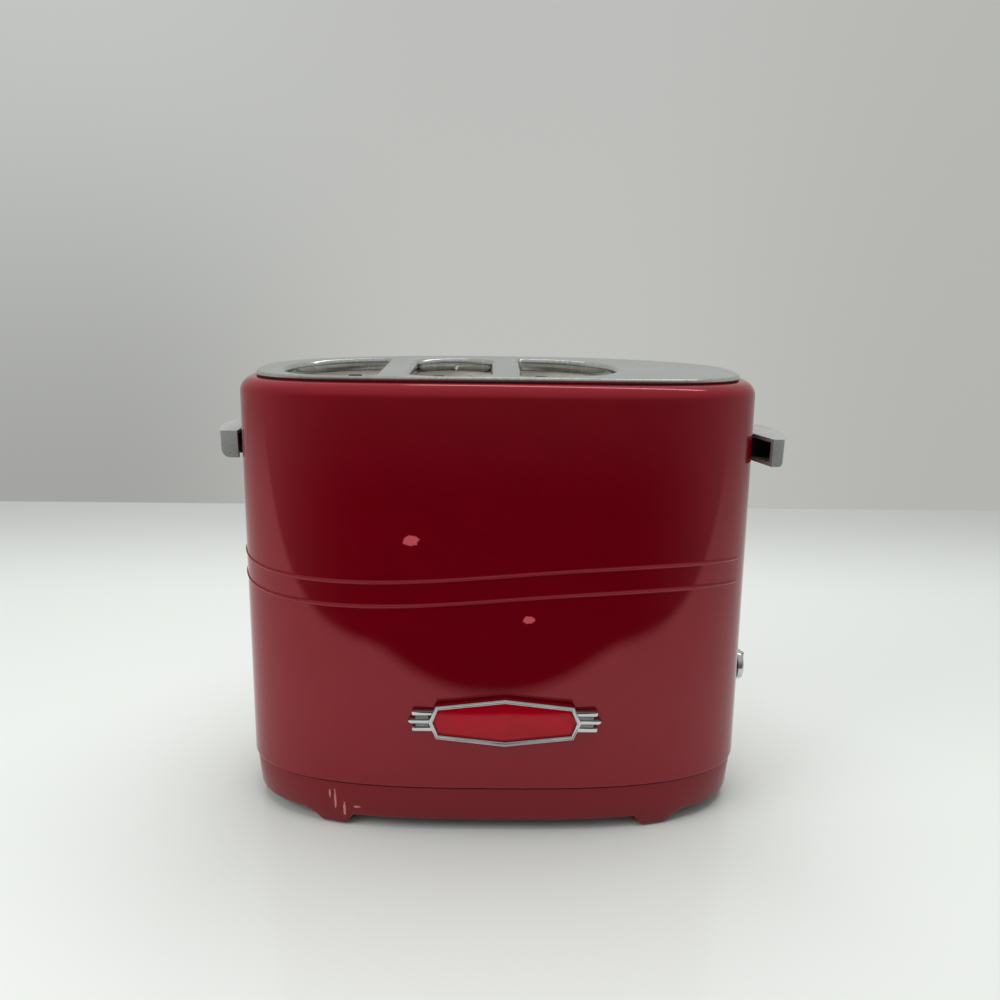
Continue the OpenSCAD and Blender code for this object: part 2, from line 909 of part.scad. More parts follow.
module lever_arm_right() {
    top = lever_z + arm_h / 2;
    low = lever_z - arm_h / 2;
    face = rail_right + slider_grip;
    end = right_side + arm_in(right_depth, right_knob_len, right_arm_at);
    lever_arm([[face, limb_z], [face + 4, limb_z], [face + 4, low], [end, low], [end, top], [face, top]]);
}

// Plan of a knob: x runs outwards from its inner side, y from its flat front to its back
module knob_plan(depth, length, open) {
    polygon(concat(open ? [[0, 13], [knob_x(depth, length, 0) - knob_face, 0]] : [[0, 0]],
        [for (i = [0 : 10]) [knob_x(depth, length, length * i / 10), length * i / 10]],
        [[0, length]]));
}

// Plan of the room in a knob, open towards the casing, with trim left round it
module knob_room(depth, length, trim) {
    polygon(concat([[-1, trim]],
        [for (i = [0 : 10]) [knob_x(depth - trim, length, length * i / 10), trim + (length - 2 * trim) * i / 10]],
        [[-1, length - trim]]));
}

// A hollow knob with a socket that grips the arm's end; it is open towards the casing, and the one
// with a closed front is open below too
module lever_knob(side, x, depth, length, at, open) {
    low = lever_z - knob_h / 2;
    top = low + knob_h;
    reach = arm_in(depth, length, at);
    color("silver")
        translate([x, rail_y - at, 0])
            scale([side, 1, 1])
                difference() {
                    intersection() {
                        slab(low, top)
                            knob_plan(depth, length, open);
                        knob_section(depth, knob_x(depth, length, 0), low, open ? 1.6 : 3.6);
                    }
                    difference() {
                        slab(low + (open ? 1.4 : -1), top - knob_wall)
                            knob_room(depth, length, knob_wall);
                        block([reach - 3, at - 4, low - 2], [depth, at + 4, top + 1]);
                    }
                    block([-2, at - arm_t / 2, lever_z - arm_h / 2],
                        [reach, at + arm_t / 2, lever_z + arm_h / 2]);
                }
}

// Rounds the outer corners; the lower one, at the width of the front, is the larger
module knob_section(depth, front, low, corner) {
    rotate([90, 0, 0])
        linear_extrude(90, center = true)
            polygon(concat([[-9, low + knob_h + 1], [-9, low - 1], [0, low]],
                [for (a = [-90 : 15 : 0]) [front - corner + corner * cos(a), low + corner + corner * sin(a)]],
                [[depth, low + corner + 2]],
                [for (a = [0 : 30 : 90]) [depth - 1 + cos(a), low + knob_h - 1 + sin(a)]]));
}

module lever_knob_left() {
    lever_knob(-1, left_side, left_depth, left_knob_len, left_arm_at, false);
}

module lever_knob_right() {
    lever_knob(1, right_side, right_depth, right_knob_len, right_arm_at, true);
}

module latch_plate() {
    color("silver")
        block([rail_right + slider_grip, magnet_y - 6, bar_z + 2],
            [magnet_x + 8, rail_y - arm_t / 2 - SEAT, bar_z + 4]);
}

module dial_knob() {
    back = side_x(dial_z) + 0.4;
    grip = 2.2;
    color("silver")
        difference() {
            union() {
                bar_x(back, back + dial_proud - 2.4, 0, dial_z, dial_r);
                translate([back + dial_proud - 2.4, 0, dial_z])
                    rotate([0, 90, 0])
                        cylinder(h = 1.2, r1 = dial_r, r2 = dial_r - 1.6);
                block([back + 1, -grip / 2, dial_z - dial_r + 0.8],
                    [back + dial_proud, grip / 2, dial_z + dial_r - 0.8]);
            }
            bar_x(back - 1, back + dial_proud - 1.6, 0, dial_z, shaft_r + 0.02);
        }
}

module dial_shaft() {
    color("gray")
        bar_x(side_x(dial_z) - shell_wall - 9, side_x(dial_z) + dial_proud - 1.4, 0, dial_z, shaft_r);
}

module stop_button() {
    face = end_x(button_y, dial_z);
    color("silver") {
        bar_x(face - 5, face + 1.9, button_y, dial_z, button_r);
        translate([face + 1.9, button_y, dial_z])
            rotate([0, 90, 0])
                cylinder(h = 0.9, r1 = button_r, r2 = button_r - 1.2);
        bar_x(face - 12, face - 5, button_y, dial_z, 2);
    }
}

module tray_plan(trim) {
    intersection() {
        casing_plan(skirt_z, foot_in + skirt_wall + trim);
        translate([tray_x0 + 2 + trim, 13 - side_y(tray_z) + trim])
            square([tray_w - 4 - 2 * trim, body_d]);
    }
}

module crumb_tray() {
    color("lightgray")
        difference() {
            slab(tray_z, tray_z + tray_h)
                tray_plan(0);
            slab(tray_z + tray_sheet, tray_z + tray_h + 1)
                tray_plan(tray_sheet);
        }
}

module tray_panel() {
    color("brown")
        intersection() {
            skirt_band();
            block([tray_x0, 0, tray_z], [tray_x1, body_d, tray_z + tray_front_h]);
        }
}

body_shell();
top_plate();
plate_gasket();
bun_liner_left();
hot_dog_liner();
bun_liner_right();
hot_dog_divider();
base_skirt();
bottom_cover();
foot_pads();
chassis_pan();
chassis_end_left();
chassis_end_right();
guide_rods();
heater_board_left();
heater_board_right();
heater_ribbon_left();
heater_ribbon_right();
badge_boss();
badge_frame();
badge_field();
badge_wings();
cord_gland();
control_board();
board_bracket();
magnet_core();
magnet_coil();
timer_body();
stop_switch();
bottom_screws();
return_spring_left();
return_spring_right();
carriage_frame();
slider_left();
slider_right();
bun_lift_left();
hot_dog_lift();
bun_lift_right();
lever_arm_left();
lever_arm_right();
lever_knob_left();
lever_knob_right();
latch_plate();
dial_knob();
dial_shaft();
stop_button();
crumb_tray();
tray_panel();
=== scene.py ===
"""The looks of a pop-up hot dog toaster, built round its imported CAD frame.

Sizes are in millimetres, as in the part's source, and become metres when a piece is made.
The front faces -Y and +Z is up. An angle runs round the plan from the right end, over the back.
"""
import logging
import math
from dataclasses import dataclass, field
from enum import Enum
from typing import Callable, Iterable, Mapping, Sequence

import bmesh
import bpy
from mathutils import Matrix, Vector


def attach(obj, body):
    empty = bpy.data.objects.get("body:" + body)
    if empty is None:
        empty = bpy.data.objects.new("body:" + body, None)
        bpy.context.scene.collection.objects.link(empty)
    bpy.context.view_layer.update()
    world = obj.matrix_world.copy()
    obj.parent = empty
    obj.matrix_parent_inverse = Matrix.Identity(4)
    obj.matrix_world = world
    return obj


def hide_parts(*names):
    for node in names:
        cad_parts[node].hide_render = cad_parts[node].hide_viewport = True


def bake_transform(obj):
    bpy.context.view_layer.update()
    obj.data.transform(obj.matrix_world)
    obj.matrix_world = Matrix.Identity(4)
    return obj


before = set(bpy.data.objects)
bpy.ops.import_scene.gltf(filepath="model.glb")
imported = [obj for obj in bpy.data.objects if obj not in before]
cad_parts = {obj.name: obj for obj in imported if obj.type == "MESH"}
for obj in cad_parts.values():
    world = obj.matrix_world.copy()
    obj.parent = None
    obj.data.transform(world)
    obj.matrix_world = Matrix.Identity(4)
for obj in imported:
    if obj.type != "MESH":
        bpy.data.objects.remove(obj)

LOG = logging.getLogger("toaster")
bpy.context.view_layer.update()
MM = 0.001
WELD = 0.0005  # points closer than this are one, in millimetres
SLIVER = 0.0002  # edges shorter than this go, in millimetres

Place = Callable[[int], Vector]


# ---------------------------------------------------------------- node helpers


def linear(code: str) -> tuple[float, float, float, float]:
    """Turn an sRGB hex colour to linear.

    Args:
        code: Six hex digits after a hash.

    Returns:
        Red, green, blue and an alpha of one.
    """
    values = [int(code[i : i + 2], 16) / 255 for i in (1, 3, 5)]
    red, green, blue = (v / 12.92 if v <= 0.04045 else ((v + 0.055) / 1.055) ** 2.4 for v in values)
    return red, green, blue, 1.0


def add(tree: bpy.types.NodeTree, kind: str, links: Mapping | None = None, **settings) -> bpy.types.Node:
    """Add a node, set it up and feed its sockets.

    Args:
        tree: The material's or the world's node tree.
        kind: Blender's name of the node.
        links: For each input, by name or number, the socket that feeds it or its value.
        settings: Properties of the node.

    Returns:
        The new node.
    """
    node = tree.nodes.new(kind)
    for key, value in settings.items():
        setattr(node, key, value)
    for socket, source in (links or {}).items():
        if isinstance(source, bpy.types.NodeSocket):
            tree.links.new(source, node.inputs[socket])
        else:
            node.inputs[socket].default_value = source
    return node


# ---------------------------------------------------------------- finishes


class Pattern(Enum):
    """How a finish varies over the surface."""

    CLOUD = "soft mottling"
    BRUSHED = "fine lines along one axis"
    SPANGLE = "zinc crystals"
    GRAIN = "moulded or sanded grain"
    WOUND = "close turns of wire"


@dataclass(frozen=True)
class Finish:
    """A real material with its colour, gloss and surface pattern.

    The second colour is what the pattern fades to. Size is the pattern's real size in millimetres,
    stretch is how many times longer it is along X, Y and Z, and relief is the height of its bump.
    """

    name: str
    slot: str
    colour: str
    second: str
    pattern: Pattern = Pattern.CLOUD
    size: float = 6.0
    stretch: tuple[float, float, float] = (1.0, 1.0, 1.0)
    relief: float = 0.02
    metallic: float = 0.0
    roughness: float = 0.4
    swing: float = 0.06
    ior: float = 1.5
    sheen_tint: str = "#FFFFFF"
    coat: float = 0.0
    coat_roughness: float = 0.03
    anisotropic: float = 0.0

    def build(self) -> bpy.types.Material:
        """Make the material once, and give it again after that."""
        known = bpy.data.materials.get(self.name)
        if known:
            return known
        material = bpy.data.materials.new(self.name)
        material.use_nodes = True
        tree = material.node_tree
        tree.nodes.clear()
        where = add(tree, "ShaderNodeTexCoord").outputs["Object"]
        tone, height = self.texture(tree, where)
        # a Mix node has a socket of each name for every kind of value, so the colour ones go by number
        colour = add(tree, "ShaderNodeMix", {0: tone}, data_type="RGBA")
        colour.inputs[6].default_value = linear(self.colour)
        colour.inputs[7].default_value = linear(self.second)
        rough = add(tree, "ShaderNodeMapRange", {"Value": tone, "To Min": max(self.roughness - self.swing, 0.02),
                                                 "To Max": self.roughness + self.swing})
        shader = add(tree, "ShaderNodeBsdfPrincipled", {
            "Base Color": colour.outputs[2], "Metallic": self.metallic, "Roughness": rough.outputs["Result"],
            "Specular Tint": linear(self.sheen_tint), "Coat Weight": self.coat,
            "Coat Roughness": self.coat_roughness, "Anisotropic": self.anisotropic})
        if not self.metallic:
            shader.inputs["IOR"].default_value = self.ior
        if self.relief:
            bump = add(tree, "ShaderNodeBump", {"Height": height, "Distance": self.relief * MM, "Strength": 1.0})
            tree.links.new(bump.outputs["Normal"], shader.inputs["Normal"])
        self.wear(tree, where, shader)
        add(tree, "ShaderNodeOutputMaterial", {"Surface": shader.outputs["BSDF"]})
        return material

    def texture(self, tree: bpy.types.NodeTree,
                where: bpy.types.NodeSocket) -> tuple[bpy.types.NodeSocket, bpy.types.NodeSocket]:
        """Add the pattern.

        Args:
            tree: The material's tree.
            where: Object coordinates.

        Returns:
            The socket that tones the colour, and the one that gives the height.
        """
        scale = 1 / (self.size * MM)
        along = add(tree, "ShaderNodeMapping", {"Vector": where, "Scale": [1 / s for s in self.stretch]})
        place = along.outputs["Vector"]
        if self.pattern is Pattern.SPANGLE:
            cells = add(tree, "ShaderNodeTexVoronoi", {"Vector": place, "Scale": scale})
            grey = add(tree, "ShaderNodeSeparateColor", {"Color": cells.outputs["Color"]})
            return grey.outputs[0], grey.outputs[1]
        if self.pattern is Pattern.WOUND:
            turns = add(tree, "ShaderNodeTexWave", {"Vector": place, "Scale": scale / 6.28, "Distortion": 0.2},
                        bands_direction="Z", wave_profile="SIN")
            return turns.outputs["Fac"], turns.outputs["Fac"]
        detail = {Pattern.CLOUD: 3.0, Pattern.BRUSHED: 2.0, Pattern.GRAIN: 1.0}[self.pattern]
        noise = add(tree, "ShaderNodeTexNoise", {"Vector": place, "Scale": scale, "Detail": detail})
        tone = add(tree, "ShaderNodeMapRange", {"Value": noise.outputs["Fac"], "From Min": 0.3, "From Max": 0.7})
        return tone.outputs["Result"], noise.outputs["Fac"]

    def wear(self, tree: bpy.types.NodeTree, where: bpy.types.NodeSocket, shader: bpy.types.Node) -> None:
        """Add the marks of use that this finish has. A plain finish has none."""


def patch(tree: bpy.types.NodeTree, where: bpy.types.NodeSocket, middle: Sequence[float],
          reach: Sequence[float], ragged: float) -> bpy.types.NodeSocket:
    """Add a mask that is one inside a ragged oval.

    Args:
        tree: The material's tree.
        where: Object coordinates.
        middle: The oval's middle, in millimetres.
        reach: Its half sizes along X, Y and Z, in millimetres.
        ragged: How far its edge wanders, as a share of its size.

    Returns:
        The mask's socket.
    """
    away = add(tree, "ShaderNodeVectorMath", {0: where, 1: [m * MM for m in middle]}, operation="SUBTRACT")
    scaled = add(tree, "ShaderNodeVectorMath", {0: away.outputs[0], 1: [1 / (r * MM) for r in reach]},
                 operation="MULTIPLY")
    far = add(tree, "ShaderNodeVectorMath", {0: scaled.outputs[0]}, operation="LENGTH")
    rough = add(tree, "ShaderNodeTexNoise", {"Vector": where, "Scale": 700.0, "Detail": 2.0})
    edge = add(tree, "ShaderNodeMath", {0: rough.outputs["Fac"], 1: ragged, 2: far.outputs["Value"]},
               operation="MULTIPLY_ADD")
    mask = add(tree, "ShaderNodeMapRange", {"Value": edge.outputs[0], "From Min": 0.9 + ragged / 2,
                                            "From Max": 1.05 + ragged / 2, "To Min": 1.0, "To Max": 0.0})
    return mask.outputs["Result"]


def widest(tree: bpy.types.NodeTree, masks: Sequence[bpy.types.NodeSocket]) -> bpy.types.NodeSocket:
    """Join masks into one that is where any of them is."""
    whole = masks[0]
    for mask in masks[1:]:
        whole = add(tree, "ShaderNodeMath", {0: whole, 1: mask}, operation="MAXIMUM").outputs[0]
    return whole


def lay_over(tree: bpy.types.NodeTree, shader: bpy.types.Node, mask: bpy.types.NodeSocket, code: str) -> None:
    """Lay a colour over the one that a shader has.

    Args:
        tree: The material's tree.
        shader: The principled shader.
        mask: Where the colour lies.
        code: Its hex code.
    """
    under = shader.inputs["Base Color"].links[0].from_socket
    mixed = add(tree, "ShaderNodeMix", {0: mask}, data_type="RGBA")
    tree.links.new(under, mixed.inputs[6])
    mixed.inputs[7].default_value = linear(code)
    tree.links.new(mixed.outputs[2], shader.inputs["Base Color"])


@dataclass(frozen=True)
class ChippedRed(Finish):
    """Glossy moulded red, with the two chips of its front."""

    chips: tuple = (((-34.7, -47.5, 135.0), (3.3, 9.0, 2.3)), ((13.5, -48.6, 101.4), (2.4, 9.0, 1.7)))
    bare: str = "#D2525C"

    def wear(self, tree: bpy.types.NodeTree, where: bpy.types.NodeSocket, shader: bpy.types.Node) -> None:
        """Lay the chips over the colour and take their gloss off.

        Args:
            tree: The material's tree.
            where: Object coordinates.
            shader: The principled shader.
        """
        both = widest(tree, [patch(tree, where, middle, reach, 0.9) for middle, reach in self.chips])
        lay_over(tree, shader, both, self.bare)
        gloss = shader.inputs["Roughness"].links[0].from_socket
        dull = add(tree, "ShaderNodeMath", {0: both, 1: 0.5, 2: gloss}, operation="MULTIPLY_ADD")
        tree.links.new(dull.outputs[0], shader.inputs["Roughness"])


@dataclass(frozen=True)
class ScuffedRed(Finish):
    """Satin moulded red, scuffed on the left front foot where it was set down."""

    scuffs: tuple = (((-70.6, -45.4, 12.6), (0.45, 9.0, 5.2)), ((-66.6, -46.5, 8.2), (0.55, 9.0, 3.4)),
                     ((-61.0, -46.5, 10.0), (1.6, 9.0, 0.5)), ((-73.0, -45.4, 15.6), (0.4, 9.0, 2.4)))
    bare: str = "#C98A82"

    def wear(self, tree: bpy.types.NodeTree, where: bpy.types.NodeSocket, shader: bpy.types.Node) -> None:
        """Lay the scuffs over the colour.

        Args:
            tree: The material's tree.
            where: Object coordinates.
            shader: The principled shader.
        """
        mask = widest(tree, [patch(tree, where, middle, reach, 1.5) for middle, reach in self.scuffs])
        lay_over(tree, shader, mask, self.bare)


# high-gloss moulded ABS: a deep red that mirrors the room strongly, tinted red, with faint orange peel
CASING_RED = ChippedRed("Moulded ABS, high-gloss red", "casing_red", "#760013", "#720011", size=16.0,
                        relief=0.006, roughness=0.06, swing=0.015, ior=2.0, sheen_tint="#FF8E95")
# the same ABS from an eroded mould: a fine even grain spreads the light, so the colour looks greyer
BASE_RED = ScuffedRed("Moulded ABS, satin red", "base_red", "#720614", "#690512", pattern=Pattern.GRAIN,
                      size=0.7, relief=0.004, roughness=0.2, swing=0.03, ior=1.9, sheen_tint="#FF8E95")
# stainless sheet brushed along X: grooves 0.15 mm apart are drawn 0.4 mm apart so that they show
PLATE_STEEL = Finish("Stainless steel, brushed", "plate_steel", "#D9DBD9", "#C6C9C7", pattern=Pattern.BRUSHED,
                     size=0.4, stretch=(60.0, 1.0, 1.0), relief=0.004, metallic=1.0, roughness=0.3,
                     swing=0.05, anisotropic=0.4)
# the rolled rims are polished by the rolling, with faint die lines round them
RIM_STEEL = Finish("Stainless steel, rolled rim", "plate_steel", "#C9CBC8", "#B4B6B2", size=1.2,
                   stretch=(1.0, 1.0, 6.0), relief=0.006, metallic=1.0, roughness=0.14, swing=0.05)
# bright annealed sheet, a little clouded by heat
LINER_STEEL = Finish("Steel sheet, bright annealed", "liner_steel", "#F0EEE8", "#DEDCD6", size=9.0,
                     stretch=(1.0, 1.0, 3.0), relief=0.03, metallic=0.15, roughness=0.4, swing=0.08)
# hot-dipped zinc sheet shows its crystals, 4 mm across
ZINC = Finish("Steel sheet, galvanised", "zinc_sheet", "#A7AAA9", "#8C9090", pattern=Pattern.SPANGLE,
              size=4.0, relief=0.004, metallic=1.0, roughness=0.42, swing=0.08)
# turned and drawn bright steel
BRIGHT_STEEL = Finish("Steel, drawn bright", "bright_steel", "#BDBDBA", "#A9A9A5", pattern=Pattern.BRUSHED,
                      size=0.3, stretch=(1.0, 1.0, 30.0), relief=0.003, metallic=1.0, roughness=0.22, swing=0.05)
# steel made nearly black with a dull sheen: the dark colour is painted shade, so that the lever arms read as the shade
# inside the knobs' hollows
SHADE_DARK_STEEL = Finish("Steel, darkened as painted shade", "bright_steel", "#3A3634", "#2B2827", size=2.5, relief=0.006,
                     metallic=1.0, roughness=0.45, swing=0.08)
# chrome on moulded plastic: a clean mirror with a soft wave from the moulding
CHROME = Finish("Chrome plate, polished", "chrome", "#D5D7D6", "#C6C9C8", size=7.0, relief=0.02,
                metallic=1.0, roughness=0.07, swing=0.03)
# the levers' chrome is hazed by handling: a wide soft mirror
HAZED_CHROME = Finish("Chrome plate, hazed by hands", "chrome", "#C2C4C2", "#B4B6B4", size=4.0, relief=0.003,
                      metallic=0.5, roughness=0.26, swing=0.05)
# translucent red enamel over foil, clear on top
ENAMEL = Finish("Enamel, translucent red", "badge_enamel", "#B8001C", "#A80018", size=12.0, relief=0.006,
                roughness=0.1, swing=0.03, ior=1.6, sheen_tint="#FF9AA2", coat=0.1, coat_roughness=0.02)
# moulded rubber, dusty grey-black
RUBBER = Finish("Rubber, moulded", "dark_rubber", "#2A2A2B", "#363637", pattern=Pattern.GRAIN, size=0.5,
                relief=0.02, roughness=0.78, swing=0.06)
# black polypropylene with a sparked grain
DARK_PLASTIC = Finish("Polypropylene, black grained", "dark_plastic", "#1D1D1F", "#2A2A2C",
                      pattern=Pattern.GRAIN, size=0.6, relief=0.015, roughness=0.5, swing=0.07)
# mica board: pale brown flakes pressed together
MICA = Finish("Mica board, pressed", "heater_board", "#B49A6E", "#93784C", size=3.0, relief=0.03,
              roughness=0.4, swing=0.12)
# nichrome ribbon, browned by heat
NICHROME = Finish("Nichrome ribbon, heat-browned", "heater_ribbon", "#8A7260", "#5D4D45", size=5.0,
                  relief=0.004, metallic=1.0, roughness=0.38, swing=0.1)
# glass-epoxy board with green solder mask, the weave just showing
BOARD = Finish("Glass epoxy, green mask", "board_green", "#145A36", "#0E4A2B", pattern=Pattern.GRAIN,
               size=1.0, relief=0.01, roughness=0.3, swing=0.05, coat=0.3)
# stacked iron sheets, 0.5 mm each, drawn as lines
IRON = Finish("Iron, laminated", "magnet_iron", "#6B6A68", "#4A4948", pattern=Pattern.BRUSHED, size=0.5,
              stretch=(1.0, 30.0, 30.0), relief=0.02, metallic=1.0, roughness=0.5, swing=0.1)
# enamelled copper wire in close turns
COPPER = Finish("Copper wire, enamelled", "coil_copper", "#B5602E", "#8C4420", size=2.0, relief=0.004,
                metallic=1.0, roughness=0.25, swing=0.06, coat=0.4)
# natural nylon, milky and waxy
NYLON = Finish("Nylon, natural", "slider_nylon", "#DAD6C6", "#CBC6B3", size=4.0, relief=0.01,
               roughness=0.45, swing=0.06)


# ---------------------------------------------------------------- mesh helpers


def weave(count: int, rings: Sequence[Place], closed: bool = True) -> bmesh.types.BMesh:
    """Grow a band by extruding one ring of points after another.

    Args:
        count: Points in a ring.
        rings: For each ring, where each of its points goes.
        closed: Whether the last ring joins the first again.

    Returns:
        The band, in millimetres.
    """
    bm = bmesh.new()
    number = bm.verts.layers.int.new("number")
    ring = bmesh.ops.create_circle(bm, segments=count, radius=1.0)["verts"]
    for i, vert in enumerate(ring):
        vert[number] = i
        vert.co = rings[0](i)
    edges = list(bm.edges)
    for place in list(rings[1:]) + ([rings[0]] if closed else []):
        made = bmesh.ops.extrude_edge_only(bm, edges=edges)["geom"]
        fresh = {g for g in made if isinstance(g, bmesh.types.BMVert)}
        for vert in fresh:
            vert.co = place(vert[number])
        edges = [g for g in made if isinstance(g, bmesh.types.BMEdge) and fresh.issuperset(g.verts)]
    bmesh.ops.remove_doubles(bm, verts=bm.verts, dist=WELD)
    bmesh.ops.dissolve_degenerate(bm, edges=bm.edges, dist=SLIVER)
    return bm


def cap(bm: bmesh.types.BMesh) -> bmesh.types.BMesh:
    """Close every open end of a band with a face."""
    bmesh.ops.holes_fill(bm, edges=[e for e in bm.edges if e.is_boundary])
    return bm


def solid(points: Sequence[Sequence[float]], low: float, high: float) -> bmesh.types.BMesh:
    """Raise a flat outline to a solid.

    Args:
        points: The outline's corners in X and Y, in order.
        low: Its lower level.
        high: Its upper level.

    Returns:
        The solid.
    """
    return cap(weave(len(points), [lambda i, z=z: Vector((points[i][0], points[i][1], z)) for z in (low, high)],
                     closed=False))


def crate(low: Sequence[float], high: Sequence[float], soften: float = 0.0, steps: int = 3,
          along: int | None = None) -> bmesh.types.BMesh:
    """Make a box, with its edges rounded if wanted.

    Args:
        low: Its lowest corner.
        high: Its highest corner.
        soften: Radius of its edges.
        steps: Faces round an edge.
        along: The axis whose edges alone are rounded.

    Returns:
        The box.
    """
    bm = bmesh.new()
    size = Vector(high) - Vector(low)
    bmesh.ops.create_cube(bm, size=1.0)
    bmesh.ops.scale(bm, vec=size, verts=bm.verts)
    bmesh.ops.translate(bm, vec=(Vector(low) + Vector(high)) / 2, verts=bm.verts)
    if soften:
        edges = [e for e in bm.edges
                 if along is None or abs((e.verts[0].co - e.verts[1].co).normalized()[along]) > 0.9]
        bmesh.ops.bevel(bm, geom=edges, offset=soften, affect="EDGES", segments=steps, profile=0.5, material=-1)
    return bm


def turned(profile: Sequence[tuple[float, float]], steps: int = 64) -> bmesh.types.BMesh:
    """Spin a profile round Z.

    Args:
        profile: Radius and height of each point; it starts and ends on the axis, or closes on itself.
        steps: Faces round.

    Returns:
        The turned shape, standing on the origin along Z.
    """
    bm = bmesh.new()
    verts = [bm.verts.new((r, 0.0, z)) for r, z in profile]
    edges = [bm.edges.new(pair) for pair in zip(verts, verts[1:])]
    if profile[0][0] > 0:
        edges.append(bm.edges.new((verts[-1], verts[0])))
    bmesh.ops.spin(bm, geom=verts + edges, cent=(0, 0, 0), axis=(0, 0, 1), angle=math.tau, steps=steps,
                   use_merge=True)
    bmesh.ops.remove_doubles(bm, verts=bm.verts, dist=WELD)
    return bm


def laid(bm: bmesh.types.BMesh, direction: Sequence[float], origin: Sequence[float]) -> bmesh.types.BMesh:
    """Turn a shape's Z axis to a direction and move it to a place.

    Args:
        bm: The shape.
        direction: Where its Z axis goes.
        origin: Where its origin goes.

    Returns:
        The same shape.
    """
    turn = Vector((0, 0, 1)).rotation_difference(Vector(direction)).to_matrix()
    bmesh.ops.rotate(bm, cent=(0, 0, 0), matrix=turn, verts=bm.verts)
    bmesh.ops.translate(bm, vec=origin, verts=bm.verts)
    return bm


def joined(parts: Iterable[bmesh.types.BMesh]) -> bmesh.types.BMesh:
    """Put several shapes into one mesh."""
    whole = bmesh.new()
    for part in parts:
        bmesh.ops.recalc_face_normals(part, faces=part.faces)
        mesh = bpy.data.meshes.new("part")
        part.to_mesh(mesh)
        part.free()
        whole.from_mesh(mesh)
        bpy.data.meshes.remove(mesh)
    return whole


def carve(bm: bmesh.types.BMesh, tool: bmesh.types.BMesh, operation: str = "DIFFERENCE") -> bmesh.types.BMesh:
    """Cut one solid with another.

    Args:
        bm: The solid that stays.
        tool: The one that cuts.
        operation: DIFFERENCE, INTERSECT or UNION.

    Returns:
        What is left.
    """
    pair = []
    for name, shape in (("stock", bm), ("tool", tool)):
        bmesh.ops.recalc_face_normals(shape, faces=shape.faces)
        mesh = bpy.data.meshes.new(name)
        shape.to_mesh(mesh)
        shape.free()
        thing = bpy.data.objects.new(name, mesh)
        bpy.context.scene.collection.objects.link(thing)
        pair.append(thing)
    cut = pair[0].modifiers.new("cut", "BOOLEAN")
    cut.object, cut.operation, cut.solver = pair[1], operation, "EXACT"
    graph = bpy.context.evaluated_depsgraph_get()
    left = bmesh.new()
    left.from_object(pair[0], graph)
    for thing in pair:
        mesh = thing.data
        bpy.data.objects.remove(thing)
        bpy.data.meshes.remove(mesh)
    bmesh.ops.remove_doubles(left, verts=left.verts, dist=WELD)
    return left


def rounded_corners(bm: bmesh.types.BMesh, radius: float, steps: int = 2, sharper: float = 40.0) -> bmesh.types.BMesh:
    """Round the sharp edges of a solid.

    Args:
        bm: The solid.
        radius: The radius.
        steps: Faces round an edge.
        sharper: Only edges that turn by more than this, in degrees.

    Returns:
        The same solid.
    """
    bmesh.ops.recalc_face_normals(bm, faces=bm.faces)
    edges = [e for e in bm.edges if e.is_manifold and e.calc_face_angle(0.0) > math.radians(sharper)]
    bmesh.ops.bevel(bm, geom=edges, offset=radius, affect="EDGES", segments=steps, profile=0.5, material=-1,
                    clamp_overlap=True)
    return bm


def shown(name: str, bm: bmesh.types.BMesh, finishes: Sequence[Finish]) -> bpy.types.Object:
    """Put a mesh in millimetres into the scene as a smooth object in metres, with its materials."""
    bmesh.ops.recalc_face_normals(bm, faces=bm.faces)
    bmesh.ops.scale(bm, vec=(MM, MM, MM), verts=bm.verts)
    mesh = bpy.data.meshes.new(name)
    bm.to_mesh(mesh)
    bm.free()
    mesh.shade_smooth()
    for finish in finishes:
        mesh.materials.append(finish.build())
    piece = bpy.data.objects.new(name, mesh)
    bpy.context.scene.collection.objects.link(piece)
    return piece


def make(name: str, bm: bmesh.types.BMesh, body: str, nodes: Sequence[str], finish: Finish,
         others: Sequence[Finish] = (), smooth: float = 32.0) -> bpy.types.Object:
    """Turn a mesh in millimetres into a finished piece of the object.

    Args:
        name: The piece's name.
        bm: Its mesh.
        body: The CAD body that it moves with.
        nodes: The CAD nodes that it stands for.
        finish: Its finish.
        others: Finishes of its further material slots.
        smooth: Edges that turn by more than this stay sharp, in degrees.

    Returns:
        The piece.
    """
    piece = shown(name, bm, (finish, *others))
    piece.data.set_sharp_from_angle(angle=math.radians(smooth))
    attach(piece, body)
    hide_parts(*nodes)
    LOG.info("%s: %d faces, rides on %s", name, len(piece.data.polygons), body)
    return piece


# ---------------------------------------------------------------- the casing's form


